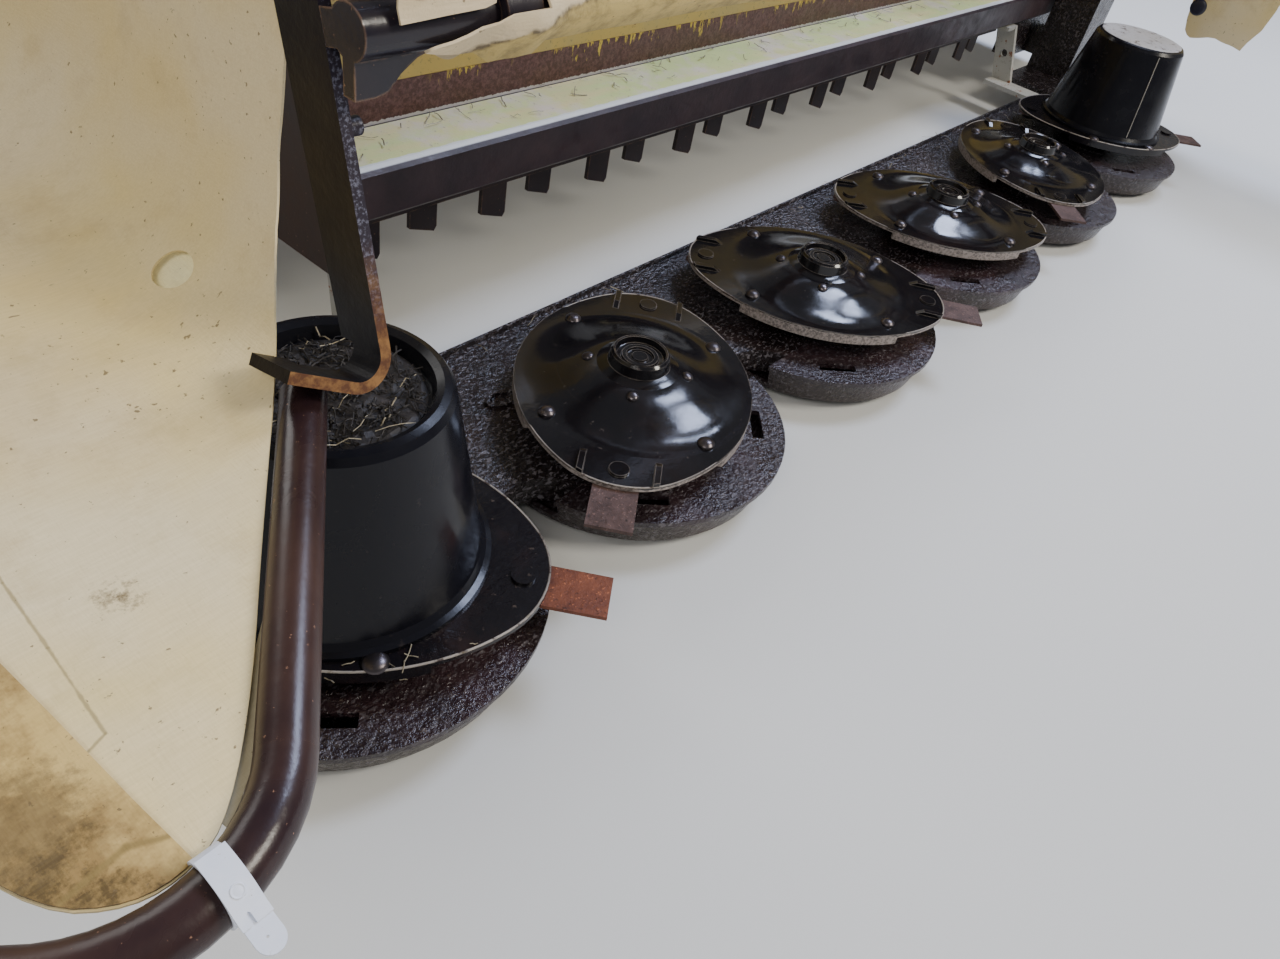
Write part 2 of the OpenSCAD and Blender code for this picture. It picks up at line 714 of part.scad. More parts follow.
// Flat bars bolted to the frame's arms; the near one turns out to carry the hoop
module guard_hanger() {
  top = (main_z + arm_h / 2 - guard_z) / cos(hanger_lean) - 6;
  bend = 22;
  rise = 30;
  inner = bend - hanger_t;
  side = [-sin(rise), cos(rise)];
  toe = [cos(rise), sin(rise)] * 48;
  low = (hoop_level(hoop_start.y) + guard_d / 2 - guard_z) / cos(hanger_lean) + 12.6;
  color([0.16, 0.09, 0.07]) leaning() {
    difference() {
      translate([hanger_x + bend - hanger_t, hanger_w / 2, low]) rotate([90, 0, 0]) linear_extrude(hanger_w)
        polygon(concat(
          [[-bend, top - low]], arc_points(bend, 180, 270 + rise), [toe - side * bend, toe - side * inner],
          arc_points(inner, 270 + rise, 180), [[-inner, top - low]]));
      // The foot is narrower than the bar
      block([hanger_x - hanger_t - 1, -hanger_w, low - 60], [hanger_x + 100, -8, low]);
    }
    // Stub pin
    rod([hanger_x - hanger_t - 22, -6, -69], [hanger_x - hanger_t + 1, -6, -69], 12);
    block([hanger_far, -hanger_w / 2, -30], [hanger_far + hanger_t, hanger_w / 2, top]);
  }
}

module hooped() {
  translate([0, hoop_front, hoop_z]) rotate([-hoop_tilt, 0, 0]) translate([0, -hoop_front, 0]) children();
}

// Side hoop of the near end, and the rail of the far curtain
module guard_hoop() {
  slant = (hoop_x - hoop_start.x) * 4 / 3;
  color([0.16, 0.09, 0.07]) {
    hooped() bent_tube([hoop_start, [hoop_x, hoop_start.y + slant], [hoop_x, hoop_rear], [side_out + gap, hoop_rear]],
      hoop_bend, guard_d);
    rod([far_rail_x, -340, far_rail_z], [far_rail_x, 150, far_rail_z], guard_d);
  }
}

// Closed outline of a strip of even thickness along points
function strip(p, t) = let(
  last = len(p) - 1,
  n = [for (i = [0 : last]) let(d = unit(p[min(i + 1, last)] - p[max(i - 1, 0)])) [-d.y, d.x]])
  concat([for (i = [0 : last]) p[i] + n[i] * t / 2], [for (i = [last : -1 : 0]) p[i] - n[i] * t / 2]);

// Side cover that hangs from the frame and spreads out into the hoop
module side_canvas() {
  hang_x = hanger_x - hanger_t - 5;
  edge_x = hoop_x - 34;
  rear = hoop_rear + 40;
  under_arm = main_z - arm_h / 2 - gap;
  under_tube = main_z - half_main - gap;
  color([0.85, 0.80, 0.66])
    difference() {
      intersection() {
        hooped() translate([0, hoop_front, 0]) rotate([90, 0, 0]) linear_extrude(hoop_front - rear)
          polygon(strip([[edge_x, 0], [hang_x + 118, 0], [hang_x + 68, 10], [hang_x + 30, 42], [hang_x + 8, 100],
            [hang_x, 180], [hang_x, 720]], canvas_t));
        hooped() translate([0, 0, -20]) linear_extrude(800)
          polygon([[hang_x - 20, rear], [hang_x - 20, -30], [hang_x + 6, -28], [hang_x + 30, -6], [hang_x + 72, 58],
            [1156, 150], [1208, 221], [1252, 268], [1276, 278], [1298, 277], [1325, 257], [edge_x, 200],
            [edge_x, rear]]);
        across(hang_x - 20, edge_x + 10)
          polygon([[rear - 80, 0], [hoop_front, 0], [hoop_front, 450], [0, 450], [0, guard_z], [-60, under_arm],
            [-main_y + half_main + gap, under_arm], [-main_y + half_main + gap, under_tube],
            [rear - 80, under_tube]]);
      }
      // Pull hole
      hooped() translate([1077, -68, -20]) cylinder(h = 80, r = 15);
    }
}

// Straps round the hoop that hold the cover
module canvas_straps() {
  wide = 14;
  turn = wide / hoop_bend * 180 / PI;
  outer = guard_d / 2 + strap_t;
  color([0.85, 0.87, 0.92])
    hooped() {
      // On the nose, round the bend, with a short tail outside
      translate([hoop_x - hoop_bend, hoop_start.y + (hoop_x - hoop_start.x) * 4 / 3 - 3 * hoop_bend, 0])
        rotate([0, 0, 102]) {
          rotate([0, 0, -turn / 2]) rotate_extrude(angle = turn)
            translate([hoop_bend, 0]) difference() {
              circle(outer);
              circle(guard_d / 2 + gap);
            }
          block([hoop_bend + outer - 2, -5, -2], [hoop_bend + outer + 16, 5, 1]);
        }
      for (y = [40, -220, -480])
        translate([hoop_x, y, 0]) {
          rotate([90, 0, 0]) difference() {
            cylinder(h = 30, r = outer, center = true);
            cylinder(h = 32, r = guard_d / 2 + gap, center = true);
          }
          block([-52, -14, canvas_t / 2 + gap], [-17, 14, canvas_t / 2 + gap + 3]);
        }
    }
}

module far_canvas() {
  top = far_rail_z - guard_d / 2 - gap;
  color([0.82, 0.77, 0.62])
    across(far_rail_x - canvas_t / 2, far_rail_x + canvas_t / 2)
      polygon([[-290, top], [140, top], [140, 300], [118, 262], [0, 285], [-180, 275], [-290, 300]]);
}

// Frame of the folding front guard, hinged round the cross tube
module front_guard_frame() {
  high = guard_z + flap_len;
  color([0.14, 0.08, 0.07]) {
    for (x = [sleeve_near, sleeve_far]) {
      translate([x, guard_y, guard_z]) rotate([0, 90, 0]) difference() {
        cylinder(h = 28, r = guard_d / 2 + 7, center = true);
        cylinder(h = 30, r = guard_d / 2 + fit, center = true);
      }
      rod([x, guard_y, guard_z + guard_d / 2 + 4], [x, guard_y, high], guard_d);
      translate([x, guard_y, high]) sphere(d = guard_d);
    }
    rod([sleeve_far, guard_y, high], [sleeve_near, guard_y, high], guard_d);
  }
}

module front_curtain() {
  inset = guard_d / 2 + gap;
  color([0.85, 0.80, 0.66])
    block([sleeve_far + inset, guard_y - canvas_t / 2, guard_z + guard_d / 2 + 20],
      [sleeve_near - inset, guard_y + canvas_t / 2, guard_z + flap_len - inset]);
}

// Rear edge of the front curtain, hanging behind the cross tube, cut out round the guard's sleeves
module hinge_flap() {
  rear = guard_y - guard_d / 2 - gap;
  near = hanger_x - hanger_t - 5;
  // Columns: distance from the near end, drop under the tube's axis
  edge = [[0, 10], [48, 19], [66, 27], [80, 35], [92, 30], [113, 21], [144, 19], [200, 15], [330, 24], [470, 16],
    [640, 27], [800, 18], [990, 26], [1180, 17], [1400, 25], [1620, 18], [1820, 26], [1980, 18], [2100, 30],
    [2205, 28]];
  color([0.85, 0.80, 0.66])
    translate([0, rear, 0]) rotate([90, 0, 0]) linear_extrude(canvas_t)
      difference() {
        polygon(concat([for (p = edge) [near - p[0], guard_z - p[1]]],
          [[near - 2205, guard_z + 34], [near, guard_z + 34]]));
        for (x = [sleeve_near, sleeve_far])
          translate([x - 17, guard_z - 25]) square([34, 80]);
      }
}

// Lift axle through both side plates, its arms, spindles and lever
module axle() {
  inner = [wheel_x_right - tyre_w / 2 - 60, wheel_x_left + tyre_w / 2 + 60];
  // Columns: arm, wheel middle, direction towards the wheel
  sides = [[inner[0], wheel_x_right, 1], [inner[1], wheel_x_left, -1]];
  color([0.16, 0.10, 0.08]) {
    difference() {
      rod([side_out_left - 6, -lift_y, lift_z], [side_out + 6, -lift_y, lift_z], 2 * lift_r);
      rod([side_out_left - 7, -lift_y, lift_z], [side_out + 7, -lift_y, lift_z], 2 * lift_r - 14);
    }
    for (x = [[side_out + gap, side_out + 10], [side_out_left - 10, side_out_left - gap]])
      difference() {
        rod([x[0], -lift_y, lift_z], [x[1], -lift_y, lift_z], 2 * lift_r + 20);
        rod([x[0] - 1, -lift_y, lift_z], [x[1] + 1, -lift_y, lift_z], 2 * lift_r - 6);
      }
    for (s = sides) {
      across(s[0] - 35, s[0] + 35)
        difference() {
          polygon([[-lift_y - 8, lift_z - lift_r + 4], [-wheel_y + 52, tyre_r - 34], [-wheel_y - 40, tyre_r - 34],
            [-wheel_y - 40, tyre_r + 40], [-wheel_y, tyre_r + 62], [-lift_y - lift_r + 4, lift_z + 4]]);
        }
      rod([s[0], -wheel_y, tyre_r], [s[1] - s[2] * (60 + gap), -wheel_y, tyre_r], 2 * spindle_r + 20);
      rod([s[0], -wheel_y, tyre_r], [s[1] + s[2] * 74, -wheel_y, tyre_r], 2 * spindle_r);
      rod([s[1] + s[2] * (60 + gap), -wheel_y, tyre_r], [s[1] + s[2] * 74, -wheel_y, tyre_r], 2 * spindle_r + 18);
    }
    translate([0, -lift_y, lift_z]) rotate([-lever_lean, 0, 0])
      for (x = [lift_x - 28, lift_x + 16])
        across(x, x + 12) {
          polygon([[-34, lift_r - 10], [34, lift_r - 10], [20, lever], [-20, lever]]);
          translate([0, lever]) circle(20);
        }
  }
}

module rim(x) {
  wide = tyre_w * 0.4;
  color([0.75, 0.72, 0.60])
    translate([x, -wheel_y, tyre_r]) rotate([0, 90, 0]) difference() {
      rotate_extrude($fn = 64)
        polygon([[spindle_r + fit, -60], [spindle_r + 20, -60], [spindle_r + 24, -14], [rim_r * 0.55, -14],
          [rim_r * 0.72, -34], [rim_r - 26, -34], [rim_r - 22, -wide + 14], [rim_r - 6, -wide + 6], [rim_r - 2, -wide],
          [rim_r, -wide], [rim_r, wide], [rim_r - 2, wide], [rim_r - 6, wide - 6], [rim_r - 22, wide - 14],
          [rim_r - 24, -26], [rim_r * 0.75, -26], [rim_r * 0.58, -6], [spindle_r + 24, -6], [spindle_r + 20, 60],
          [spindle_r + fit, 60]]);
      for (k = [0 : 5]) rotate([0, 0, k * 60]) translate([rim_r * 0.64, 0, -40]) cylinder(h = 40, r = 15);
    }
}

module tyre(x) {
  wide = tyre_w / 2;
  bead = tyre_w * 0.4;
  crown = tyre_r;
  color([0.08, 0.08, 0.08])
    translate([x, -wheel_y, tyre_r]) rotate([0, 90, 0])
      rotate_extrude($fn = 96)
        polygon([[rim_r + gap, -bead], [rim_r + 22, -bead - 4], [crown - 90, -wide], [crown - 50, -wide + 2],
          [crown - 14, -wide + 18], [crown, -wide + 34], [crown, -57], [crown - 9, -54], [crown - 9, -44], [crown, -41],
          [crown, -9], [crown - 9, -6], [crown - 9, 6], [crown, 9], [crown, 41], [crown - 9, 44], [crown - 9, 54],
          [crown, 57], [crown, wide - 34], [crown - 14, wide - 18], [crown - 50, wide - 2], [crown - 90, wide],
          [rim_r + 22, bead + 4], [rim_r + gap, bead], [rim_r + gap, bead - 12], [crown - 30, bead - 22],
          [crown - 30, -bead + 22], [rim_r + gap, -bead + 12]]);
}

module lift_barrel() {
  z = lift_eye_z;
  pin = lift_pin_y;
  color([0.15, 0.10, 0.09]) {
    difference() {
      rod([lift_x, pin - 32, z], [lift_x, pin - 270, z], 62);
      rod([lift_x, pin - 52, z], [lift_x, pin - 272, z], 30 + 2 * fit);
    }
    rod([lift_x, pin - 15, z], [lift_x, pin - 34, z], 26);
    rod([lift_x - 13.7, pin, z], [lift_x + 13.7, pin, z], 50);
    rod([lift_x - 32, pin, z], [lift_x + 32, pin, z], 2 * pin_r);
  }
}

module lift_rod() {
  z = lift_eye_z;
  eye = -lift_y + lever * sin(lever_lean);
  color([0.75, 0.75, 0.77]) {
    rod([lift_x, lift_pin_y - 60, z], [lift_x, eye, z], 30);
    rod([lift_x - 15.7, eye, z], [lift_x + 15.7, eye, z], 46);
  }
}

module drawbar() {
  high = main_z + drawbar_h / 2;
  low = main_z - drawbar_h / 2;
  start = -main_y + half_main + 28;
  knee = 1000;
  nose = hitch_y - 200;
  left = -pivot_x - drawbar_w / 2;
  color([0.16, 0.10, 0.08]) {
    difference() {
      across(left, left + drawbar_w)
        polygon([[start, low], [knee - 14, low], [nose, hitch_z - 60], [nose, hitch_z + 60], [knee + 14, high],
          [start, high]]);
      across(left + 8, left + drawbar_w - 8)
        polygon([[start + 8, low + 8], [knee - 14, low + 8], [nose - 8, hitch_z - 50], [nose - 8, hitch_z + 50],
          [knee + 12, high - 8], [start + 8, high - 8]]);
    }
    // Fork over and under the main tube, the upper plate running back as the lever
    translate([-pivot_x, 0, high - eps]) linear_extrude(fork_t) {
      translate([-55, -main_y - 50]) square([110, 270]);
      polygon([[-45, -main_y - 40], [45, -main_y - 40], [30, -main_y - lever], [-30, -main_y - lever]]);
      translate([0, -main_y - lever]) circle(30);
    }
    translate([-pivot_x, 0, low - fork_t + eps]) linear_extrude(fork_t) {
      translate([-55, -main_y]) square([110, 220]);
      translate([0, -main_y]) circle(55);
    }
    translate([-pivot_x, -main_y, low - fork_t]) cylinder(h = drawbar_h + 2 * fork_t, r = spindle_r);
    translate([-pivot_x, -main_y, high + fork_t - eps]) cylinder(h = 9, r = 36);
  }
}

module hitch_eye() {
  face = hitch_y - 200;
  color([0.14, 0.12, 0.12])
    translate([-pivot_x, 0, 0]) difference() {
      union() {
        block([-60, face + gap, hitch_z - 64], [60, face + 16, hitch_z + 64]);
        block([-34, face + 15, hitch_z - 15], [34, hitch_y - hitch_r - 6, hitch_z + 15]);
        translate([0, hitch_y, hitch_z - 15]) cylinder(h = 30, r = eye_r);
      }
      translate([0, hitch_y, hitch_z - 16]) cylinder(h = 32, r = hitch_r);
    }
}

module swing_barrel() {
  y = -main_y - lever;
  z = main_z + drawbar_h / 2 + fork_t - eps + gap + 14;
  color([0.15, 0.10, 0.09]) {
    difference() {
      rod([-1068, y, z], [-1310, y, z], 56);
      rod([-1090, y, z], [-1311, y, z], 28 + 2 * fit);
    }
    translate([-1049, y, main_z + half_main - 2 + gap]) cylinder(h = z + 14 - main_z - half_main + 2 - gap, r = 24);
  }
}

module swing_rod() {
  y = -main_y - lever;
  z = main_z + drawbar_h / 2 + fork_t - eps + gap + 14;
  color([0.75, 0.75, 0.77]) {
    rod([-1135, y, z], [-pivot_x, y, z], 28);
    translate([-pivot_x, y, z - 14]) cylinder(h = 28, r = 24);
  }
}

module jack_sleeve() {
  half = jack_w / 2;
  color([0.20, 0.12, 0.10])
    translate([jack_x, jack_y, 0]) {
      difference() {
        block([-half, -half, 300], [half, half, 850]);
        block([-half + 6, -half + 6, 299], [half - 6, half - 6, 838]);
      }
      translate([0, 0, 849]) cylinder(h = 30, r = 16);
      rod([0, 0, 868], [0, 120, 868], 14);
      rod([0, 114, 862], [0, 114, 960], 22);
    }
}

module jack_leg() {
  half = jack_w / 2 - 6.5;
  color([0.6, 0.6, 0.6])
    translate([jack_x, jack_y, 0]) {
      block([-half, -half, 8 - eps], [half, half, 545]);
      block([-jack_foot / 2, -jack_foot / 2, 0], [jack_foot / 2, jack_foot / 2, 8]);
    }
}

placed() cutterbar();
placed() skid_shoes();
placed() bar_brackets();
placed() near_drum();
placed() near_disc();
placed() knife_pair(0);  // knives_1
placed() domed(1);  // disc_2
placed() knife_pair(1);  // knives_2
placed() domed(2);  // disc_3
placed() knife_pair(2);  // knives_3
placed() domed(3);  // disc_4
placed() knife_pair(3);  // knives_4
placed() domed(4);  // disc_5
placed() knife_pair(4);  // knives_5
placed() far_drum();
placed() far_disc();
placed() knife_pair(5);  // knives_6
placed() cross_beam();
placed() crop_comb();
placed() side_plates();
placed() hood();
placed() tine_rotor();
placed() swath_board(1);  // swath_board_near
placed() swath_board(-1);  // swath_board_far
placed() main_frame();
placed() drive_housing();
placed() gearbox();
placed() input_shaft();
placed() guard_tube();
placed() guard_hanger();
placed() guard_hoop();
placed() side_canvas();
placed() canvas_straps();
placed() far_canvas();
placed() front_guard_frame();
placed() front_curtain();
placed() hinge_flap();
placed() axle();
placed() rim(wheel_x_right);  // rim_near
placed() tyre(wheel_x_right);  // tyre_near
placed() rim(wheel_x_left);  // rim_far
placed() tyre(wheel_x_left);  // tyre_far
placed() lift_barrel();
placed() lift_rod();
placed() drawbar();
placed() hitch_eye();
placed() swing_barrel();
placed() swing_rod();
placed() jack_sleeve();
placed() jack_leg();
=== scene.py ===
import bisect
import math
import random

import bmesh
import bpy
from mathutils import Matrix, Vector, noise
from mathutils.geometry import delaunay_2d_cdt


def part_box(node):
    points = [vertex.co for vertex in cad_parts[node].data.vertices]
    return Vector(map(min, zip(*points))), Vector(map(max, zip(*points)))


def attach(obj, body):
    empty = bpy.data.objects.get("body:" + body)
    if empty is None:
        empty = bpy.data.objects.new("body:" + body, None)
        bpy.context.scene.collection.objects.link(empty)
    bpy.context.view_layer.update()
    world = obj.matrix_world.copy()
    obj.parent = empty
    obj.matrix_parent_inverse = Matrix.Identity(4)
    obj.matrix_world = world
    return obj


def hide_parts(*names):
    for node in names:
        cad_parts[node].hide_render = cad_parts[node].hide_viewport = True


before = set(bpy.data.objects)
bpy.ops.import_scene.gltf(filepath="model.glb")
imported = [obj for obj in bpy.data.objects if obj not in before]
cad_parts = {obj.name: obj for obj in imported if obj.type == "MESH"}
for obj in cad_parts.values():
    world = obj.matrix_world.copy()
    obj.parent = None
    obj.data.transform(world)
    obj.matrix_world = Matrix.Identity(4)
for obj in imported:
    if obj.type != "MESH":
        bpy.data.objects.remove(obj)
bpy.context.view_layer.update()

# Working frame of the part's modules, in metres, to the model's frame
SHIFT = Vector((0.1709, -0.46375, 0.0))
ROTOR_PITCH = 0.4
NEAR_X, FAR_DRUM_X = 1.0, -1.0  # first and last rotor
RIM_TOP = 0.098  # of the discs
# Cross beam: y of its middle, front edge and rear foot, z of its top
BEAM_MID, BEAM_EDGE, BEAM_FOOT = (y + SHIFT.y for y in (-0.345, -0.308, -0.389))
BEAM_TOP = 0.254
GUARD_Y, GUARD_Z = 66, 556  # axis of the cross tube, in mm
SLEEVES = (-1125, 920)  # the folding guard's sleeves on it
LEG_X = 1380  # outer leg of the side hoop
FAR_X = -1455  # far curtain
RIGHT, FORWARD, UPWARD = Vector((1, 0, 0)), Vector((0, 1, 0)), Vector((0, 0, 1))


def at(x, y, z):
    return Vector((x, y, z)) + SHIFT


def mm(x, y, z):
    return at(x / 1000, y / 1000, z / 1000)


def linked(name, data):
    obj = bpy.data.objects.new(name, data)
    bpy.context.scene.collection.objects.link(obj)
    return obj


# -------- camera
def make_camera():
    """Camera fitted to the photograph."""
    yaw_right = Vector((-0.525, 0.851, 0.0)).normalized()
    look = Vector((-0.637, -0.393, -0.663)).normalized()
    up = yaw_right.cross(look).normalized()
    roll = math.radians(13.52)
    right = math.cos(roll) * yaw_right + math.sin(roll) * up
    top = -math.sin(roll) * yaw_right + math.cos(roll) * up
    focal_px, width_px, film = 949.4, 1280, 36.0
    data = bpy.data.cameras.new("camera")
    data.sensor_fit = "HORIZONTAL"
    data.sensor_width = film
    data.lens = focal_px / width_px * film
    data.clip_start = 0.02
    obj = linked("camera", data)
    turned = Matrix((right, top, -look)).transposed().to_4x4()
    obj.matrix_world = Matrix.Translation(at(1.342, 0.496, 0.7395)) @ turned
    bpy.context.scene.camera = obj


make_camera()


# -------- lights and floor
def area(name, place, target, size, power, colour):
    data = bpy.data.lights.new(name, "AREA")
    data.shape = "RECTANGLE"
    data.size, data.size_y = size
    data.energy = power
    data.color = colour
    obj = linked(name, data)
    obj.location = place
    obj.rotation_euler = (Vector(target) - Vector(place)).to_track_quat("-Z", "Y").to_euler()


area("key", (-2.2, 4.4, 5.2), (0.4, -0.2, 0.2), (2.0, 2.0), 380, (1.0, 0.94, 0.82))
area("sky", (-2.9, -0.1, 4.6), (0.4, 0, 0.1), (2.4, 1.5), 330, (0.62, 0.72, 1.0))
area("fill", (5.2, 1.5, 4.6), (0.6, 0, 0.3), (3.2, 2.4), 150, (1.0, 0.97, 0.92))
area("back", (0.0, -6.5, 4.0), (0, 0, 0.4), (5.0, 3.0), 190, (1.0, 0.98, 0.95))
world = bpy.data.worlds.new("world")
bpy.context.scene.world = world
world.use_nodes = True
sky = world.node_tree.nodes["Background"].inputs
sky["Color"].default_value = (0.95, 0.96, 1.0, 1)
sky["Strength"].default_value = 0.24


# -------- materials
def dim(colour, share):
    return tuple(c * share for c in colour)


class Tree:
    """Small helper that adds nodes to a material."""

    def __init__(self, name):
        self.mat = bpy.data.materials.new(name)
        self.mat.use_nodes = True
        self.nt = self.mat.node_tree
        self.shader = self.nt.nodes["Principled BSDF"]
        self.coord = self.nt.nodes.new("ShaderNodeTexCoord").outputs["Object"]

    def put(self, socket, value):
        if isinstance(value, bpy.types.NodeSocket):
            self.nt.links.new(value, socket)
        elif isinstance(value, (tuple, list)) and len(value) == 3 and socket.type == "RGBA":
            socket.default_value = (*value, 1.0)
        else:
            socket.default_value = value

    def done(self, colour, rough, normal=None, shine=0.5, metal=0.0):
        """Feeds the shader and returns the material."""
        for name, value in (("Base Color", colour), ("Roughness", rough), ("Normal", normal),
                            ("Specular IOR Level", shine), ("Metallic", metal)):
            if value is not None:
                self.put(self.shader.inputs[name], value)
        return self.mat

    def node(self, kind, inputs, **settings):
        """Adds a node; inputs maps a socket's name or number to a value or to another node's output."""
        n = self.nt.nodes.new("ShaderNode" + kind)
        for key, value in settings.items():
            setattr(n, key, value)
        for key, value in inputs.items():
            self.put(n.inputs[key], value)
        return n

    def scaled(self, scale):
        return self.node("Mapping", {"Vector": self.coord, "Scale": scale}).outputs[0]

    def noise(self, scale, detail=4.0, rough=0.55, vector=None, distort=0.0):
        return self.node("TexNoise", {"Vector": vector or self.coord, "Scale": scale, "Detail": detail,
                                      "Roughness": rough, "Distortion": distort}).outputs["Fac"]

    def ramp(self, fac, low, high, a=0.0, b=1.0):
        return self.node("MapRange", {"Value": fac, "From Min": low, "From Max": high,
                                      "To Min": a, "To Max": b}).outputs[0]

    def math(self, op, a, b=0.0, clamp=False):
        return self.node("Math", {0: a, 1: b}, operation=op, use_clamp=clamp).outputs[0]

    def plus(self, a, b):
        return self.math("ADD", a, b)

    def minus(self, a, b):
        return self.math("SUBTRACT", a, b)

    def times(self, a, b):
        return self.math("MULTIPLY", a, b)

    def length(self, a, b):
        return self.math("SQRT", self.plus(self.times(a, a), self.times(b, b)))

    def jitter(self, scale, by):
        """Uneven offset of up to by either way."""
        return self.ramp(self.noise(scale, 3, 0.6), 0.3, 0.7, -by, by)

    def mix(self, fac, a, b):
        return self.node("Mix", {"Factor": fac, 6: a, 7: b}, data_type="RGBA").outputs[2]

    def over(self, a, b, grain, low, high, share=1.0):
        """Colour b over a, where noise of grain (scale, detail, roughness) rises from low to high."""
        return self.mix(self.ramp(self.noise(*grain), low, high, 0, share), a, b)

    def near(self, place, radius, soft=0.3):
        """1 within a radius of a point of the model, 0 outside."""
        n = self.node("VectorMath", {0: self.coord, 1: place}, operation="DISTANCE")
        return self.ramp(n.outputs["Value"], radius, radius * soft)

    def off_line(self, a, b):
        """Distance from the line between two points, in plan."""
        x, y = (self.minus(self.axis(k), value) for k, value in (("X", a.x), ("Y", a.y)))
        dx, dy = b.x - a.x, b.y - a.y
        dot = self.plus(self.times(x, dx), self.times(y, dy))
        share = self.math("DIVIDE", dot, dx * dx + dy * dy, True)
        return self.length(self.minus(x, self.times(share, dx)),
                           self.minus(y, self.times(share, dy)))

    def axis(self, which, source="coord"):
        """One axis of the position in the model, or of the face's normal."""
        vector = self.coord
        if source == "normal":
            vector = self.node("NewGeometry", {}).outputs["True Normal"]
        return self.node("SeparateXYZ", {0: vector}).outputs["XYZ".index(which)]

    def bump(self, height, strength, distance, below=None):
        inputs = {"Strength": strength, "Distance": distance, "Height": height}
        if below is not None:
            inputs["Normal"] = below
        return self.node("Bump", inputs).outputs["Normal"]

    def edge(self, radius):
        """1 on convex edges, 0 on flat faces."""
        bevel = self.node("Bevel", {"Radius": radius}, samples=4).outputs[0]
        normal = self.node("NewGeometry", {}).outputs["Normal"]
        dot = self.node("VectorMath", {0: bevel, 1: normal}, operation="DOT_PRODUCT")
        return self.ramp(dot.outputs["Value"], 0.999, 0.93)


def oily_black(name, dark, mud, gloss=0.22, pits=0.5, mud_share=0.5, pit_scale=190, specks=0.5,
               painted_glint=0.0, shine=0.6):
    """Oily black steel, pitted and splashed with mud, with pale painted glints of highlight in patches."""
    t = Tree(name)
    big = t.noise(7, 5, 0.6)
    mud_mask = t.ramp(big, 0.62 - 0.2 * mud_share, 0.78 - 0.2 * mud_share)
    fine = t.noise(pit_scale, 3, 0.6)
    lumps = t.noise(pit_scale * 0.28, 2, 0.5)
    colour = t.mix(mud_mask, dark, mud)
    colour = t.mix(t.ramp(fine, 0.66, 0.76, 0, specks), colour, (0.20, 0.15, 0.12))
    rough = t.ramp(t.noise(24, 4, 0.6), 0.35, 0.7, gloss, gloss + 0.18)
    # Pale purple-grey specks in patches: painted glints of highlight on the pits.
    pebbles = t.noise(1.0, 2, 0.5, t.scaled((150, 260, 200)), 0.6)
    patches = t.ramp(t.noise(9, 4, 0.6), 0.38, 0.60, 0.35, 1.0)
    painted_glints = t.times(patches, t.ramp(pebbles, 0.555, 0.63, 0, painted_glint))
    colour = t.mix(painted_glints, colour, (0.22, 0.20, 0.22))
    return t.done(colour, rough, t.bump(lumps, pits * 0.6, 0.003, t.bump(fine, pits, 0.003)), shine)


def disc_paint(name, dark, mud):
    """Glossy black discs: the cones shaded as one dome, the rim below the top edge worn to pitted steel."""
    t = Tree(name)
    u = t.minus(t.axis("X"), SHIFT.x)
    wrap = t.node("Math", {0: u, 1: ROTOR_PITCH, 2: 0.0}, operation="WRAP")
    u = t.minus(wrap.outputs[0], ROTOR_PITCH / 2)
    v = t.minus(t.axis("Y"), SHIFT.y)
    r = t.length(u, v)
    cones = t.plus(t.ramp(r, 0.048, 0.091, 0.021, 0.008), t.ramp(r, 0.091, 0.138, 0.0, -0.007))
    dome = t.node("MapRange", {"Value": r, "From Min": 0.040, "From Max": 0.132,
                               "To Min": 0.021, "To Max": 0.001}, interpolation_type="SMOOTHSTEP")
    below_hub = t.ramp(t.axis("Z"), 0.1255, 0.1235)
    rest = t.times(t.minus(dome.outputs[0], cones), below_hub)
    colour = t.over(dark, mud, (7, 5, 0.6), 0.55, 0.75)
    colour = t.over(colour, (0.20, 0.16, 0.14), (120, 3, 0.6), 0.68, 0.76, 0.25)
    rough = t.ramp(t.noise(24, 4, 0.6), 0.35, 0.7, 0.07, 0.20)
    bare = t.ramp(t.plus(t.axis("Z"), t.jitter(40, 0.0012)), RIM_TOP - 0.0010, RIM_TOP - 0.0018)
    worn = (0.34, 0.29, 0.265)
    pitted = t.over(worn, dim(worn, 0.35), (260, 3, 0.65), 0.42, 0.62)
    colour = t.mix(bare, colour, pitted)
    rough = t.plus(rough, t.times(bare, 0.35))
    wear = t.times(t.edge(0.0015), t.ramp(t.noise(30, 3, 0.6), 0.35, 0.6, 0, 0.7))
    colour = t.mix(wear, colour, (0.30, 0.26, 0.23))
    fine = t.bump(t.noise(110, 3, 0.6), 0.10, 0.0010)
    return t.done(colour, rough, t.bump(rest, 1.0, 1.0, fine), 0.42)


def aged_paint(name, base, stain, rust, rust_over=0.68):
    t = Tree(name)
    streak = t.noise(1.0, 6, 0.65, t.scaled((9, 9, 2.2)))
    colour = t.mix(t.ramp(streak, 0.42, 0.68, 0, 0.75), base, stain)
    spots = t.noise(60, 4, 0.7)
    colour = t.mix(t.ramp(spots, rust_over, rust_over + 0.06), colour, rust)
    colour = t.over(colour, (0.16, 0.13, 0.07), (150, 4, 0.7), 0.58, 0.68, 0.6)
    return t.done(colour, t.ramp(streak, 0.3, 0.7, 0.34, 0.6), t.bump(t.noise(90, 4, 0.6), 0.25, 0.001))


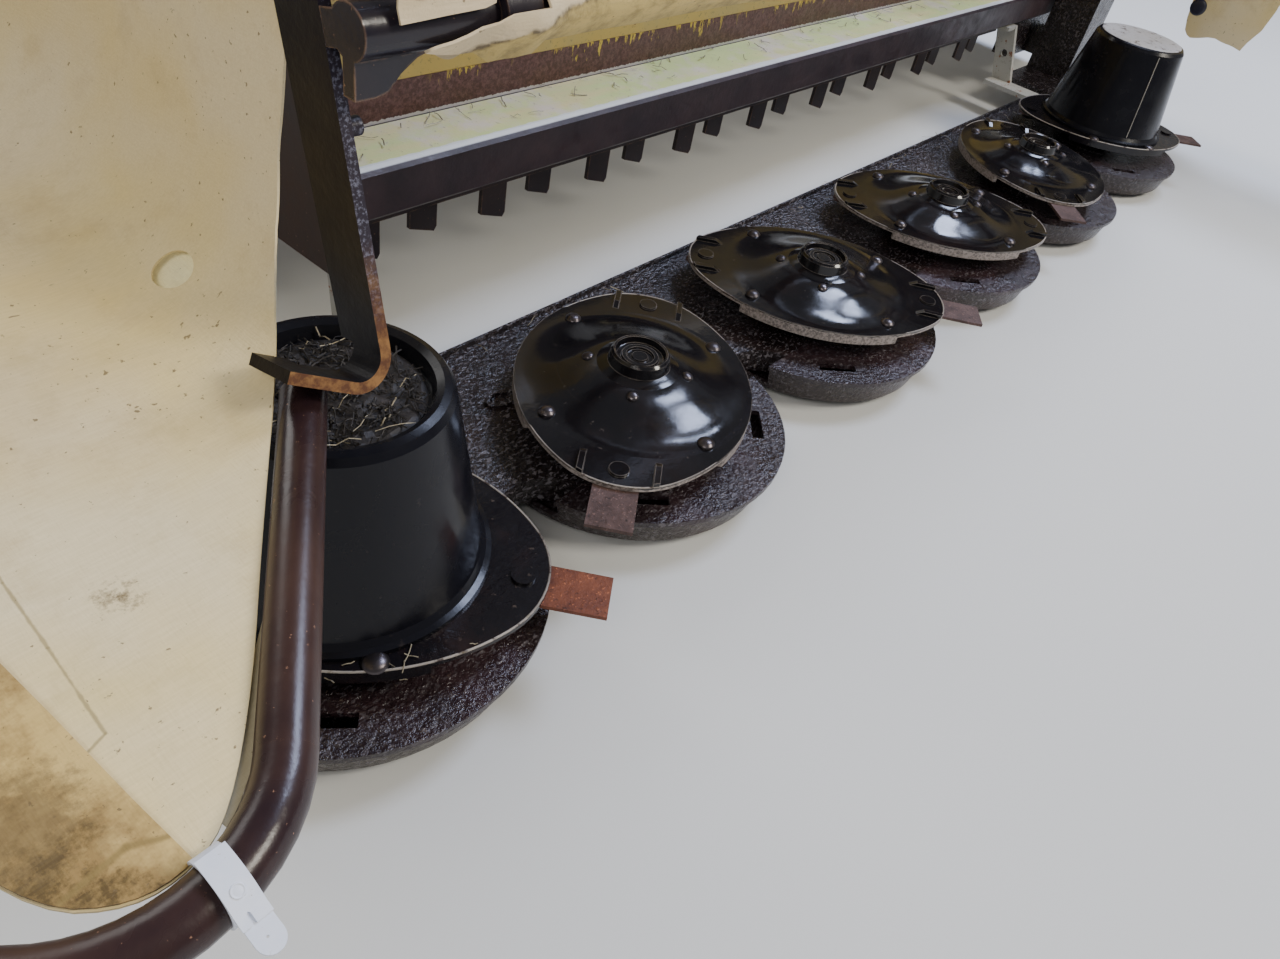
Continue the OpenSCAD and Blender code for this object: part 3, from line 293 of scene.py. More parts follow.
def beam_paint():
    """Cream top, brown front and a maroon upstand with yellow chips; the cream top is partly a painted sky
    reflection with painted glare, the brown front partly painted shade.
    """
    t = Tree("beam_paint")
    x, y, z = (t.axis(k) for k in "XYZ")
    facing = t.axis("Y", "normal")
    wide = t.noise(1.0, 5, 0.6, t.scaled((3, 14, 14)))
    fine = t.noise(140, 4, 0.7)
    # Cream top: paint, lightened as a painted reflection of the sky.
    top = t.mix(t.ramp(wide, 0.40, 0.60), (0.88, 0.76, 0.38), (0.74, 0.82, 0.34))
    # Pale pink-white patches: painted glare on the top.
    top = t.over(top, (0.86, 0.74, 0.66), (14, 5, 0.7), 0.50, 0.66, 0.75)
    top = t.mix(t.ramp(fine, 0.62, 0.70, 0, 0.7), top, (0.34, 0.27, 0.14))
    # Brown front: dark oil coat, darkened further as painted shade.
    brown = t.over((0.030, 0.019, 0.024), (0.060, 0.036, 0.040), (16, 5, 0.65), 0.35, 0.7)
    brown = t.mix(t.ramp(fine, 0.69, 0.74, 0, 0.8), brown, (0.30, 0.24, 0.20))
    near_front = t.ramp(y, BEAM_MID - 0.02, BEAM_MID + 0.02)
    at_back = t.ramp(y, BEAM_MID, BEAM_MID - 0.02)
    # Front faces take the brown and the rest the cream, so this split by facing paints shade on the front and
    # reflected light on the top.
    colour = t.mix(t.times(t.ramp(facing, 0.3, 0.6), near_front), top, brown)
    # Thin pale line along the front top edge: a painted highlight on the rounded corner.
    line = t.times(t.ramp(t.plus(y, t.jitter(60, 0.0012)), BEAM_EDGE - 0.0040, BEAM_EDGE - 0.0030),
                   t.ramp(z, BEAM_TOP - 0.004, BEAM_TOP - 0.003))
    colour = t.mix(t.times(line, near_front), colour, (0.86, 0.86, 0.80))
    maroon = t.over((0.080, 0.026, 0.024), (0.19, 0.085, 0.080), (200, 4, 0.75), 0.42, 0.66)
    chip = t.plus(t.noise(1.0, 4, 0.7, t.scaled((90, 60, 24))), t.ramp(z, 0.262, 0.300, -0.16, 0.09))
    stretches = t.ramp(t.noise(1.0, 3, 0.6, t.scaled((4, 0, 0))), 0.44, 0.50)
    chip = t.times(t.times(t.ramp(chip, 0.60, 0.63), stretches), t.ramp(x, 0.76, 0.70))
    maroon = t.mix(chip, maroon, (0.72, 0.52, 0.06))
    ragged = t.ramp(t.noise(1.0, 4, 0.7, t.scaled((120, 0, 0))), 0.3, 0.7, 0.2565, 0.2600)
    seam = t.ramp(t.minus(ragged, z), -0.0003, 0.0003)
    maroon = t.mix(seam, maroon, (0.74, 0.68, 0.68))
    above, level = BEAM_TOP + 0.0006, BEAM_TOP + 0.0002
    colour = t.mix(t.times(t.ramp(z, level, above), at_back), colour, maroon)
    foot = t.times(t.ramp(y, BEAM_FOOT + 0.0022, BEAM_FOOT + 0.0012), at_back)
    colour = t.mix(t.times(foot, t.ramp(z, above, level)), colour, (0.05, 0.035, 0.05))
    return t.done(colour, t.ramp(t.noise(30, 5, 0.65), 0.3, 0.7, 0.28, 0.55),
                  t.bump(fine, 0.35, 0.0012, t.bump(t.noise(22, 3, 0.6), 0.3, 0.003)))


def tube_brown(name, base, gloss=0.25, warm=(0.055, 0.026, 0.018)):
    t = Tree(name)
    n = t.noise(9, 5, 0.6)
    colour = t.mix(t.ramp(n, 0.35, 0.7), base, warm)
    spots = t.noise(260, 3, 0.7)
    colour = t.mix(t.ramp(spots, 0.68, 0.73, 0, 0.8), colour, (0.30, 0.16, 0.10))
    wear = t.times(t.edge(0.002), t.ramp(t.noise(60, 4, 0.7), 0.40, 0.6, 0, 0.8))
    colour = t.mix(wear, colour, (0.26, 0.15, 0.09))
    return t.done(colour, t.ramp(n, 0.3, 0.7, gloss, gloss + 0.2), t.bump(t.noise(120, 3, 0.6), 0.25, 0.0008),
                  0.36)


def hanger_black():
    """Nearly black flat bar; its front edge face painted lighter with pale specks of painted highlight, and
    rusty towards the bend.
    """
    t = Tree("hanger_black")
    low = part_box("guard_hanger")[0][2]
    colour = t.over((0.006, 0.005, 0.007), (0.014, 0.009, 0.008), (9, 5, 0.6), 0.35, 0.7)
    # Front-facing edge face: lighter, with pale purple-grey specks of painted highlight; rust takes their
    # place towards the bend.
    side = t.ramp(t.axis("Y", "normal"), 0.35, 0.6)
    glint_and_rust_strip = t.over((0.030, 0.024, 0.034), (0.15, 0.15, 0.20), (420, 3, 0.7), 0.50, 0.64)
    rusty = t.over((0.10, 0.040, 0.018), (0.26, 0.13, 0.045), (90, 4, 0.7), 0.42, 0.62)
    glint_and_rust_strip = t.mix(t.ramp(t.axis("Z"), low + 0.10, low + 0.04), glint_and_rust_strip, rusty)
    return t.done(t.mix(side, colour, glint_and_rust_strip), t.ramp(t.noise(20, 4, 0.6), 0.3, 0.7, 0.36, 0.55),
                  t.bump(t.noise(150, 3, 0.6), 0.4, 0.001), 0.2)


def knife_rust(name, dark, light):
    t = Tree(name)
    n = t.noise(45, 5, 0.65)
    colour = t.mix(t.ramp(n, 0.35, 0.68), dark, light)
    fine = t.noise(320, 3, 0.6)
    colour = t.mix(t.ramp(fine, 0.60, 0.72, 0, 0.6), colour, tuple(min(c * 3.2, 0.6) for c in light))
    colour = t.over(colour, dim(dark, 0.3), (210, 3, 0.6), 0.60, 0.70, 0.85)
    return t.done(colour, 0.58, t.bump(fine, 0.6, 0.001), metal=0.25)


def bare_metal(name, base, rough=0.35):
    t = Tree(name)
    n = t.noise(30, 5, 0.6)
    colour = t.mix(t.ramp(n, 0.35, 0.75), base, dim(base, 0.5))
    return t.done(colour, t.ramp(n, 0.3, 0.7, rough, rough + 0.25), t.bump(t.noise(160, 3, 0.6), 0.2, 0.0006),
                  metal=0.9)


def rubber(name):
    """Rubber with grooves round the tread and shallow cuts across it."""
    t = Tree(name)
    low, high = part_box("tyre_near")
    mid_y, mid_z = (low[1] + high[1]) / 2, (low[2] + high[2]) / 2
    big = (high[2] - low[2]) / 2
    y, z = t.minus(t.axis("Y"), mid_y), t.minus(t.axis("Z"), mid_z)
    r = t.length(y, z)
    zigzag = t.math("PINGPONG", t.times(t.math("ARCTAN2", z, y), big), 0.016)
    across = t.plus(t.axis("X"), t.times(zigzag, 0.35))
    groove = t.ramp(t.math("PINGPONG", across, 0.017), 0.0025, 0.0045)
    tread = t.times(t.ramp(groove, 1.0, 0.0), t.ramp(r, big - 0.030, big - 0.026))
    n = t.noise(18, 5, 0.6)
    colour = t.mix(t.ramp(n, 0.4, 0.72), (0.018, 0.018, 0.018), (0.11, 0.10, 0.085))
    # Grooves darkened to near black: painted shade in the recesses.
    colour = t.mix(t.times(tread, 0.8), colour, (0.006, 0.006, 0.006))
    fine = t.bump(t.noise(260, 3, 0.6), 0.3, 0.0006)
    return t.done(colour, 0.78, t.bump(t.times(tread, -1.0), 1.0, 0.006, fine))


def cloth(name, base=(0.76, 0.60, 0.27), light=(0.78, 0.66, 0.42), brown=(0.42, 0.30, 0.12), grime=0.45,
          mud=None, hem=None, spots=(), tape_and_crease_lines=()):
    """Dusty ribbed canvas; mud is (start x, end x, colour), hem the colour of a soiled lower edge with a dark
    border line that is dirt and painted shadow; the given lines darken along the tape and, as painted shade,
    along a crease.
    """
    t = Tree(name)
    colour = t.over(base, light, (3.2, 4, 0.6), 0.40, 0.60)
    colour = t.over(colour, brown, (16, 6, 0.72), 0.52, 0.78, grime)
    if mud:
        deep = t.plus(t.noise(12, 6, 0.75), t.ramp(t.axis("X"), mud[0], mud[1], -0.06, 0.14))
        colour = t.mix(t.ramp(deep, 0.46, 0.62), colour, mud[2])
        fleck = t.plus(deep, t.ramp(t.noise(70, 5, 0.8), 0.3, 0.7, -0.12, 0.12))
        colour = t.mix(t.ramp(fleck, 0.62, 0.74), colour, dim(mud[2], 0.32))
    if hem:
        z = t.plus(t.axis("Z"), t.jitter(30, 0.003))
        x, near_end, bend = t.axis("X"), 1.140, 1.101
        border = t.plus(t.ramp(x, near_end, bend, 0.536, 0.552), t.ramp(x, bend, 1.0, 0, 0.013))
        below = t.minus(border, z)
        soiled = t.over(hem, dim(hem, 0.55), (50, 5, 0.75), 0.45, 0.66)
        colour = t.mix(t.ramp(below, -0.0005, 0.0012), colour, soiled)
        # Dark wavy line along the hem's border: dirt fringe and painted shadow of the canvas edge.
        line = t.times(t.ramp(below, -0.0022, 0.0), t.ramp(below, 0.0035, 0.001))
        line = t.times(line, t.ramp(t.noise(90, 3, 0.6), 0.40, 0.55, 0.2, 0.9))
        colour = t.mix(line, colour, (0.10, 0.075, 0.045))
    for place, radius, strength in spots:
        dots = t.plus(t.noise(170, 5, 0.75), t.near(place, radius, 0.0))
        colour = t.mix(t.ramp(dots, 1.06, 1.30, 0, strength), colour, (0.13, 0.09, 0.04))
    # Darker lines along given points: along the tape on the cover, and along the hem's crease as painted
    # shade in the fold.
    for line, width in tape_and_crease_lines:
        for a, b in zip(line, line[1:]):
            away = t.plus(t.off_line(a, b), t.jitter(110, 0.0004))
            colour = t.mix(t.ramp(away, width, width * 0.3, 0, 0.75), colour, dim(base, 0.38))
    specks = t.noise(190, 3, 0.6)
    patch = t.ramp(t.noise(7, 3, 0.6), 0.42, 0.62, 0.0, 0.045)
    colour = t.mix(t.ramp(t.plus(specks, patch), 0.70, 0.735, 0, 0.8), colour, (0.13, 0.09, 0.045))
    marks = t.noise(1.0, 2, 0.5, t.scaled((60, 150, 100)))
    colour = t.mix(t.ramp(marks, 0.77, 0.80, 0, 0.75), colour, (0.16, 0.11, 0.07))
    ribs = t.noise(1.0, 2, 0.5, t.scaled((60, 620, 620)), 0.3)
    colour = t.mix(t.ramp(ribs, 0.35, 0.62, 0.0, 0.14), colour, dim(base, 0.62))
    t.shader.inputs["Sheen Weight"].default_value = 0.08
    weave = t.plus(ribs, t.noise(1.0, 2, 0.5, t.scaled((700, 90, 700))))
    return t.done(colour, 0.66, t.bump(weave, 0.35, 0.0008, t.bump(t.noise(9, 4, 0.6), 0.5, 0.008)), 0.25)


def webbing():
    t = Tree("strap_web")
    n = t.noise(60, 4, 0.65)
    colour = t.mix(t.ramp(n, 0.4, 0.7), (0.70, 0.74, 0.84), (0.78, 0.80, 0.86))
    colour = t.over(colour, (0.35, 0.32, 0.30), (240, 3, 0.7), 0.66, 0.72, 0.6)
    return t.done(colour, 0.42, t.bump(t.noise(300, 2, 0.5), 0.15, 0.0004))


# Lines on the side cover, working frame in metres
TAPE = [(1.263, 0.0), (1.264, 0.070), (1.2665, 0.100), (1.2685, 0.147), (1.2715, 0.2035), (1.286, 0.2085)]
CREASE = [(1.321, 0.262), (1.292, 0.258), (1.277, 0.265)]
MATS = {
    "bar": oily_black("bar_black", (0.014, 0.009, 0.010), (0.032, 0.018, 0.018), 0.14, 1.0, 0.5, 170,
                      0.4, 0.75),
    "skid": oily_black("skid_black", (0.018, 0.010, 0.012), (0.040, 0.021, 0.025), 0.20, 1.0, 0.6, 190,
                       0.5, 0.42),
    "disc": disc_paint("disc_black", (0.006, 0.0055, 0.007), (0.014, 0.009, 0.009)),
    "carrier": oily_black("carrier_black", (0.007, 0.006, 0.008), (0.026, 0.014, 0.013), 0.10, 0.15, 0.5, 130,
                          0.35, 0.0, 0.35),
    "drum": oily_black("drum_black", (0.006, 0.006, 0.009), (0.010, 0.010, 0.013), 0.14, 0.03, 0.1, 90,
                       0.08, 0.0, 0.22),
    "rotor": oily_black("rotor_black", (0.010, 0.009, 0.009), (0.032, 0.018, 0.015), 0.3, 0.2, 0.2, 150),
    "knife": knife_rust("knife_rust", (0.050, 0.026, 0.021), (0.115, 0.066, 0.056)),
    "knife_red": knife_rust("knife_red", (0.10, 0.026, 0.012), (0.21, 0.062, 0.026)),
    "beam": beam_paint(),
    "zinc_plate": aged_paint("zinc_plate", (0.52, 0.51, 0.46), (0.42, 0.42, 0.40), (0.26, 0.10, 0.04), 0.60),
    "hood": aged_paint("hood_cream", (0.66, 0.47, 0.12), (0.52, 0.42, 0.19), (0.22, 0.07, 0.03), 0.66),
    "brown": tube_brown("frame_brown", (0.040, 0.024, 0.020), 0.38, (0.075, 0.040, 0.028)),
    "comb": tube_brown("comb_brown", (0.016, 0.012, 0.015), 0.35, (0.035, 0.022, 0.022)),
    "tube": tube_brown("tube_brown", (0.020, 0.010, 0.012), 0.20),
    "hanger": hanger_black(),
    "guard": tube_brown("guard_blue", (0.012, 0.011, 0.018), 0.16, (0.026, 0.018, 0.020)),
    "ring": tube_brown("ring_brown", (0.060, 0.022, 0.030), 0.3),
    "bare": bare_metal("bare_steel", (0.55, 0.55, 0.56)),
    "bright": bare_metal("bright_edge", (0.56, 0.52, 0.46), 0.32),
    "bead": aged_paint("rim_bead", (0.36, 0.32, 0.28), (0.06, 0.045, 0.04), (0.05, 0.03, 0.025), 0.55),
    "bolt": bare_metal("bolt_steel", (0.11, 0.095, 0.10), 0.2),
    "zinc": bare_metal("zinc", (0.48, 0.48, 0.46), 0.5),
    "rim": aged_paint("rim_cream", (0.55, 0.50, 0.30), (0.40, 0.35, 0.2), (0.2, 0.08, 0.04)),
    "rubber": rubber("tyre_rubber"),
    "cloth": cloth("cover_cloth", tape_and_crease_lines=[([at(*p, 0.31) for p in TAPE], 0.0012)],
                   spots=[(at(1.230, 0.139, 0.3395), 0.036, 0.9), (at(1.262, 0.03, 0.33), 0.05, 0.35)]),
    "bright_cloth": cloth("lining_cloth", (0.90, 0.80, 0.42), (0.92, 0.84, 0.50)),
    "mud_cloth": cloth("hem_cloth", (0.58, 0.40, 0.13), (0.66, 0.48, 0.20), (0.36, 0.24, 0.08), 0.8,
                       (1.44, 1.49, (0.30, 0.19, 0.065)), tape_and_crease_lines=[([at(*p, 0.31) for p in CREASE], 0.0022)],
                       spots=[(at(1.318, 0.222, 0.319), 0.075, 0.55)]),
    # Darker cloth of the underlap: painted shade on the cloth's underside.
    "underlap_shade_cloth": cloth("under_cloth_painted_shade", (0.42, 0.36, 0.22), (0.50, 0.44, 0.30), (0.25, 0.19, 0.11)),
    "drape": cloth("drape_cloth", (0.66, 0.52, 0.30), (0.70, 0.57, 0.37), (0.32, 0.22, 0.10), 0.5),
    "soiled": cloth("soiled_cloth", (0.66, 0.52, 0.30), (0.70, 0.57, 0.37), (0.32, 0.22, 0.10), 0.5,
                    hem=(0.56, 0.42, 0.15)),
    "strap": webbing(),
    "dark_ring": oily_black("dark_ring", (0.012, 0.012, 0.03), (0.03, 0.03, 0.05), 0.3, 0.1, 0.1),
    "lid": aged_paint("lid_grey", (0.46, 0.45, 0.45), (0.36, 0.35, 0.36), (0.10, 0.07, 0.05), 0.58),
    "straw": knife_rust("straw", (0.22, 0.18, 0.11), (0.36, 0.31, 0.22)),
    "chaff": knife_rust("chaff", (0.012, 0.010, 0.010), (0.030, 0.024, 0.022)),
}
NODE_MATS = {
    "bar": ["cutterbar", "drive_housing"],
    "skid": ["skid_shoes"],
    "comb": ["crop_comb"],
    "disc": ["disc_2", "disc_3", "disc_4", "disc_5"],
    "carrier": ["near_disc", "far_disc"],
    "rotor": ["tine_rotor"],
    "drum": ["near_drum", "far_drum"],
    "knife": ["knives_%d" % i for i in range(2, 7)],
    "knife_red": ["knives_1"],
    "beam": ["cross_beam"],
    "zinc_plate": ["bar_brackets"],
    "hood": ["hood"],
    "brown": ["side_plates", "swath_board_near", "swath_board_far", "main_frame", "drawbar", "axle",
              "jack_sleeve"],
    "tube": ["guard_hoop", "gearbox", "hitch_eye", "lift_barrel", "swing_barrel"],
    "hanger": ["guard_hanger"],
    "guard": ["guard_tube", "front_guard_frame"],
    "bare": ["input_shaft", "lift_rod", "swing_rod"],
    "zinc": ["jack_leg"],
    "rim": ["rim_near", "rim_far"],
    "rubber": ["tyre_near", "tyre_far"],
}
for key, names in NODE_MATS.items():
    for name in names:
        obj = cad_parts[name]
        obj.data.materials.clear()
        obj.data.materials.append(MATS[key])


# -------- building sheets and bands
def piece(name, mesh, mat, body="frame", stands_for=()):
    obj = linked(name, mesh)
    mesh.materials.append(MATS[mat])
    if stands_for:
        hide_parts(*stands_for)
    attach(obj, body)
    return obj


def clamp(value):
    return min(max(value, 0), 1)


def polar(r, degrees):
    return r * math.cos(math.radians(degrees)), r * math.sin(math.radians(degrees))


def to_mesh(bm, name, smooth=False):
    for f in bm.faces:
        f.smooth = f.smooth or smooth
    mesh = bpy.data.meshes.new(name)
    bm.to_mesh(mesh)
    bm.free()
    return mesh


def join_rings(bm, a, b, n):
    """Faces between two rings of n points, either of which may be a single point."""
    for i in range(n):
        j = (i + 1) % n
        corners = [a[i % len(a)], a[j % len(a)], b[j % len(b)], b[i % len(b)]]
        corners = [c for k, c in enumerate(corners) if c not in corners[:k]]
        if len(corners) > 2:
            bm.faces.new(corners)


def inside(p, ring):
    hit = False
    x, y = p
    for (x1, y1), (x2, y2) in zip(ring, ring[1:] + ring[:1]):
        if (y1 > y) != (y2 > y) and x < (x2 - x1) * (y - y1) / (y2 - y1) + x1:
            hit = not hit
    return hit


def spaced(ring, step):
    """Closed ring with a point at least every step."""
    out = []
    for a, b in zip(ring, ring[1:] + ring[:1]):
        n = max(1, math.ceil(math.dist(a, b) / step))
        out += [(a[0] + (b[0] - a[0]) * i / n, a[1] + (b[1] - a[1]) * i / n) for i in range(n)]
    return out


def rounded(points, times=2):
    """Open line with its corners cut, ends kept."""
    for _ in range(times):
        new = [points[0]]
        for a, b in zip(points, points[1:]):
            new.append((0.75 * a[0] + 0.25 * b[0], 0.75 * a[1] + 0.25 * b[1]))
            new.append((0.25 * a[0] + 0.75 * b[0], 0.25 * a[1] + 0.75 * b[1]))
        points = new + [points[-1]]
    return points


def lengths_of(points):
    """Length of a line up to each of its points."""
    out = [0.0]
    for a, b in zip(points, points[1:]):
        out.append(out[-1] + math.dist(a, b))
    return out


def segment(lengths, s):
    """Number of the segment that holds length s, and the share of it that s has covered."""
    i = min(max(bisect.bisect_right(lengths, s) - 1, 0), len(lengths) - 2)
    return i, (s - lengths[i]) / (lengths[i + 1] - lengths[i])


def circle(cx, cy, r, n=28):
    turns = [math.tau * i / n for i in range(n)]
    return [(cx + r * math.cos(a), cy + r * math.sin(a)) for a in turns]


def cut_cloth(name, outline, holes, step, place, thick):
    """Mesh of a sheet cut to a flat outline in mm, and its flat area in square metres."""
    def within(p):
        return inside(p, outline) and not any(inside(p, h) for h in holes)

    room = 0.55 * step  # between the border and the nearest inner point
    rings = [spaced(outline, step)] + holes
    points, edges = [], []
    for ring in rings:
        first = len(points)
        points += ring
        edges += [(first + i, first + (i + 1) % len(ring)) for i in range(len(ring))]
    cells = {}
    for p in points:
        cells.setdefault((int(p[0] // step), int(p[1] // step)), []).append(p)
    low = [min(p[i] for p in outline) for i in (0, 1)]
    high = [max(p[i] for p in outline) for i in (0, 1)]
    for i in range(1, int((high[0] - low[0]) / step) + 1):
        for j in range(1, int((high[1] - low[1]) / step) + 1):
            p = (low[0] + (i - 0.5) * step, low[1] + (j - 0.5) * step)
            if not within(p):
                continue
            cx, cy = int(p[0] // step), int(p[1] // step)
            near = [q for a in (-1, 0, 1) for b in (-1, 0, 1) for q in cells.get((cx + a, cy + b), [])]
            if all(math.dist(p, q) > room for q in near):
                points.append(p)
    verts, _, faces, *_ = delaunay_2d_cdt([Vector(p) for p in points], edges, [], 0, 1e-4)
    bm = bmesh.new()
    made = [bm.verts.new(place(v.x, v.y)) for v in verts]
    flat = 0.0
    for f in faces:
        mid = sum((verts[i] for i in f), Vector((0, 0))) / len(f)
        if not within(mid):
            continue
        bm.faces.new([made[i] for i in f])
        a, b, c = (verts[i] for i in f)
        flat += abs((b - a).cross(c - a)) / 2e6
    bmesh.ops.delete(bm, geom=[v for v in bm.verts if not v.link_faces], context="VERTS")
    bmesh.ops.recalc_face_normals(bm, faces=bm.faces)
    top = list(bm.faces)
    bm.normal_update()
    shift = {v: v.normal * thick / 2000 for v in bm.verts}
    twin = {v: bm.verts.new(v.co - d) for v, d in shift.items()}
    for v, d in shift.items():
        v.co += d
    rim = [e for e in bm.edges if e.is_boundary]
    for f in top:
        bm.faces.new([twin[v] for v in reversed(f.verts)])
    for e in rim:
        loop = e.link_loops[0]
        a, b = loop.vert, loop.link_loop_next.vert
        bm.faces.new([b, a, twin[a], twin[b]])
        for edge in (e, bm.edges.get((twin[a], twin[b]))):
            edge.smooth = False
    return to_mesh(bm, name, smooth=True), flat


def cloth_piece(name, outline, step, place, thick, mat, holes=(), body="frame", stands_for=()):
    """Sheet cut to a flat outline in mm, with its flat area."""
    mesh, flat = cut_cloth(name, outline, list(holes), step, place, thick)
    return piece(name, mesh, mat, body, stands_for), flat


def ripple(a, b, seed, wave):
    """Slow uneven wave from -1 to 1."""
    return noise.noise(Vector((a / wave, b / wave, seed)))


# -------- side cover
TILT = math.radians(5.5)
HOOP_FRONT, HOOP_Z = 300.0, 312.0


def hooped(x, y, z):
    """Point of the side hoop's leaning frame, in mm."""
    dy = y - HOOP_FRONT
    return mm(x, HOOP_FRONT + dy * math.cos(TILT) + z * math.sin(TILT),
              HOOP_Z - dy * math.sin(TILT) + z * math.cos(TILT))


SECTION = rounded([(1346, 0), (1240, 0), (1133, 0), (1083, 10), (1045, 42), (1023, 100), (1015, 180),
                   (1015, 280), (1015, 720)], 3)
LENGTHS = lengths_of(SECTION)


def on_section(s):
    """Point and outward normal of the cover's cross-section at length s."""
    i, t = segment(LENGTHS, s)
    a, b = SECTION[i], SECTION[i + 1]
    d = math.dist(a, b)
    return (a[0] + (b[0] - a[0]) * t, a[1] + (b[1] - a[1]) * t), (-(a[1] - b[1]) / d, (a[0] - b[0]) / d)


def length_at(x=None, z=None):
    """Length along the cross-section at a given x, or on the wall at a given height."""
    for i, (a, b) in enumerate(zip(SECTION, SECTION[1:])):
        low, high, value = (b[0], a[0], x) if z is None else (a[1], b[1], z)
        if low <= value <= high and high - low > 1e-6:
            t = (high - value) / (high - low) if z is None else (value - low) / (high - low)
            return LENGTHS[i] + t * (LENGTHS[i + 1] - LENGTHS[i])
    return LENGTHS[-1]


def on_cover(lift, wave=1.0):
    def place(s, y):
        (x, z), (nx, nz) = on_section(s)
        h = lift + wave * (ripple(s, y, 3.0, 170) * 1.6 + ripple(s, y, 9.0, 60) * 0.5)
        return hooped(x + nx * h, y, z + nz * h)
    return place


NOSE = [(1346, 200), (1329, 259), (1303, 281), (1276, 283), (1252, 271), (1208, 221), (1156, 150), (1087, 58),
        (1045, -6), (1024, -27)]
nose = [(length_at(x=x), y) for x, y in NOSE]
wall = [(length_at(z=z), y) for z, y in ((240.2, -28.5), (610.2, -120.4), (578.6, -448.6), (543.8, -445.2),
                                         (534.6, -540))]
rear = -540
front_line = rounded([(0, 120)] + nose + [(length_at(z=120), -28.5)], 2)
# Hole for the pull, with a pale patch behind it
pull_at = length_at(x=1077)
pull = circle(pull_at, -68, 15, 32)
cover, cover_area = cloth_piece("side_cover", [(0, rear)] + front_line + wall, 12, on_cover(-0.6), 1.8,
                                "cloth", [pull], stands_for=["side_canvas"])
hem_in = length_at(x=1275)
hem_line = [p for p in front_line if p[0] < hem_in]
cut = next(p for p in front_line if p[0] >= hem_in)
hem_outline = [(0.5, rear)] + [(s + 0.5, y - 0.5) for s, y in hem_line] + [(hem_in, cut[1] - 1)]
for i in range(12):
    back = 40 + i * 60
    hem_outline.append((hem_in - 15 * min(1, back / 150) + 0.8 * math.sin(i * 1.7), cut[1] - back))
hem_outline.append((hem_in - 15, rear))
hem, _ = cloth_piece("cover_hem", hem_outline, 12, on_cover(2.0), 1.3, "mud_cloth")
outline = circle(pull_at + 3, -70, 24)
patch, _ = cloth_piece("pull_patch", outline, 8, on_cover(-8.0, 0.3), 1.0, "bright_cloth")
under = [(1256, 277), (1219, 246), (1180, 196), (1180, 188), (1222, 230), (1258, 262)]
outline = [(length_at(x=x), y) for x, y in under]
underlap, _ = cloth_piece("cover_underlap", outline, 8, on_cover(-3.4), 1.2, "underlap_shade_cloth")


# -------- straps
def on_path(path, side):
    """Places width and length of a strap on a line of points."""
    lengths = lengths_of(path)

    def place(w, l):
        i, t = segment(lengths, l / 1000)
        return path[i].lerp(path[i + 1], t) + side * w / 1000
    return place, lengths[-1] * 1000


def strap(name, path, side, outline, holes=(), body="frame", thick=1.5, step=4, stands_for=()):
    place = on_path(path, side)[0]
    return cloth_piece(name, outline, step, place, thick, "strap", holes, body, stands_for)[0]


def loop_strap(name, centre, inward, up, width, reach, body="frame", lift=3.0, stands_for=()):
    """Band round a tube that grips a cloth's edge on both sides."""
    radius = 16.4
    flat = [(-reach, lift), (-reach * 0.7, lift), (-reach * 0.45 - 4, lift + 0.3),
            (-radius - 1.2, lift + 2.2)]
    turn = [polar(radius, 150 - i * 150 / 9) for i in range(19)]
    line = rounded(flat + turn + [(a, -b) for a, b in flat[::-1]], 1)
    path = [centre - inward * (a / 1000) + up * (b / 1000) for a, b in line]
    side = inward.cross(up).normalized()
    _, total = on_path(path, side)
    half = width / 2
    outline = [(-half, 2), (-half + 2, 0), (half - 2, 0), (half, 2), (half, total - 2), (half - 2, total),
               (-half + 2, total), (-half, total - 2)]
    return strap(name, path, side, outline, (), body, 1.6, 5, stands_for)


def lathe(name, profile, place, axis, n=24):
    """Turned piece: profile of (radius, height) in mm about an axis."""
    axis = axis.normalized()
    u = axis.orthogonal().normalized()
    v = axis.cross(u)
    bm = bmesh.new()
    rings = []
    for r, h in profile:
        ring = circle(0, 0, r, n if r else 1)
        rings.append([bm.verts.new(place + (axis * h + u * x + v * y) / 1000) for x, y in ring])
    for a, b in zip(rings, rings[1:]):
        join_rings(bm, a, b, n)
    if profile[0] == profile[-1]:
        bmesh.ops.remove_doubles(bm, verts=bm.verts, dist=1e-6)
    bmesh.ops.recalc_face_normals(bm, faces=bm.faces)
    return to_mesh(bm, name, smooth=True)


HOOP_UP = (hooped(0, 0, 100) - hooped(0, 0, 0)).normalized()
HOOP_ALONG = (hooped(0, 100, 0) - hooped(0, 0, 0)).normalized()
BEND_R, BEND_Y, NOSE_TURN = 90, 209, 102  # front bend of the hoop, and the strap's place on it
x, y = polar(BEND_R, NOSE_TURN)
bend = hooped(LEG_X - BEND_R + x, BEND_Y + y, 0)


def round_bend(points):
    return [bend + HOOP_ALONG * (a / 1000) + HOOP_UP * (b / 1000) for a, b in points]


path = round_bend([polar(16.9, a) for a in range(172, -175, -12)])
total = on_path(path, RIGHT)[1]
ribbon = [(-6.6, 0), (6.6, 0), (6.6, total), (-6.6, total)]
straps = [strap("nose_strap_loop", path, RIGHT, ribbon, stands_for=["canvas_straps"])]
path = round_bend(rounded([(-9, 18.6), (-3, 19.3), (6, 18.9), (14, 15.8), (19, 12.4), (25, 10.6)], 2))
top_place, total = on_path(path, RIGHT)
slot_in = [(2.4, total), (2.4, total - 5), (1.5, total - 6), (0.6, total - 5), (0.6, total)]
outline = [(-7, 0), (7, 0), (7, total)] + slot_in + [(-7, total)]
straps.append(strap("nose_strap_top", path, RIGHT, outline, thick=1.3, step=3))
path = round_bend(rounded([(6, 17.0), (14, 13.9), (20, 10.4), (27, 8.9), (34, 8.3), (40, 8.0)], 2))
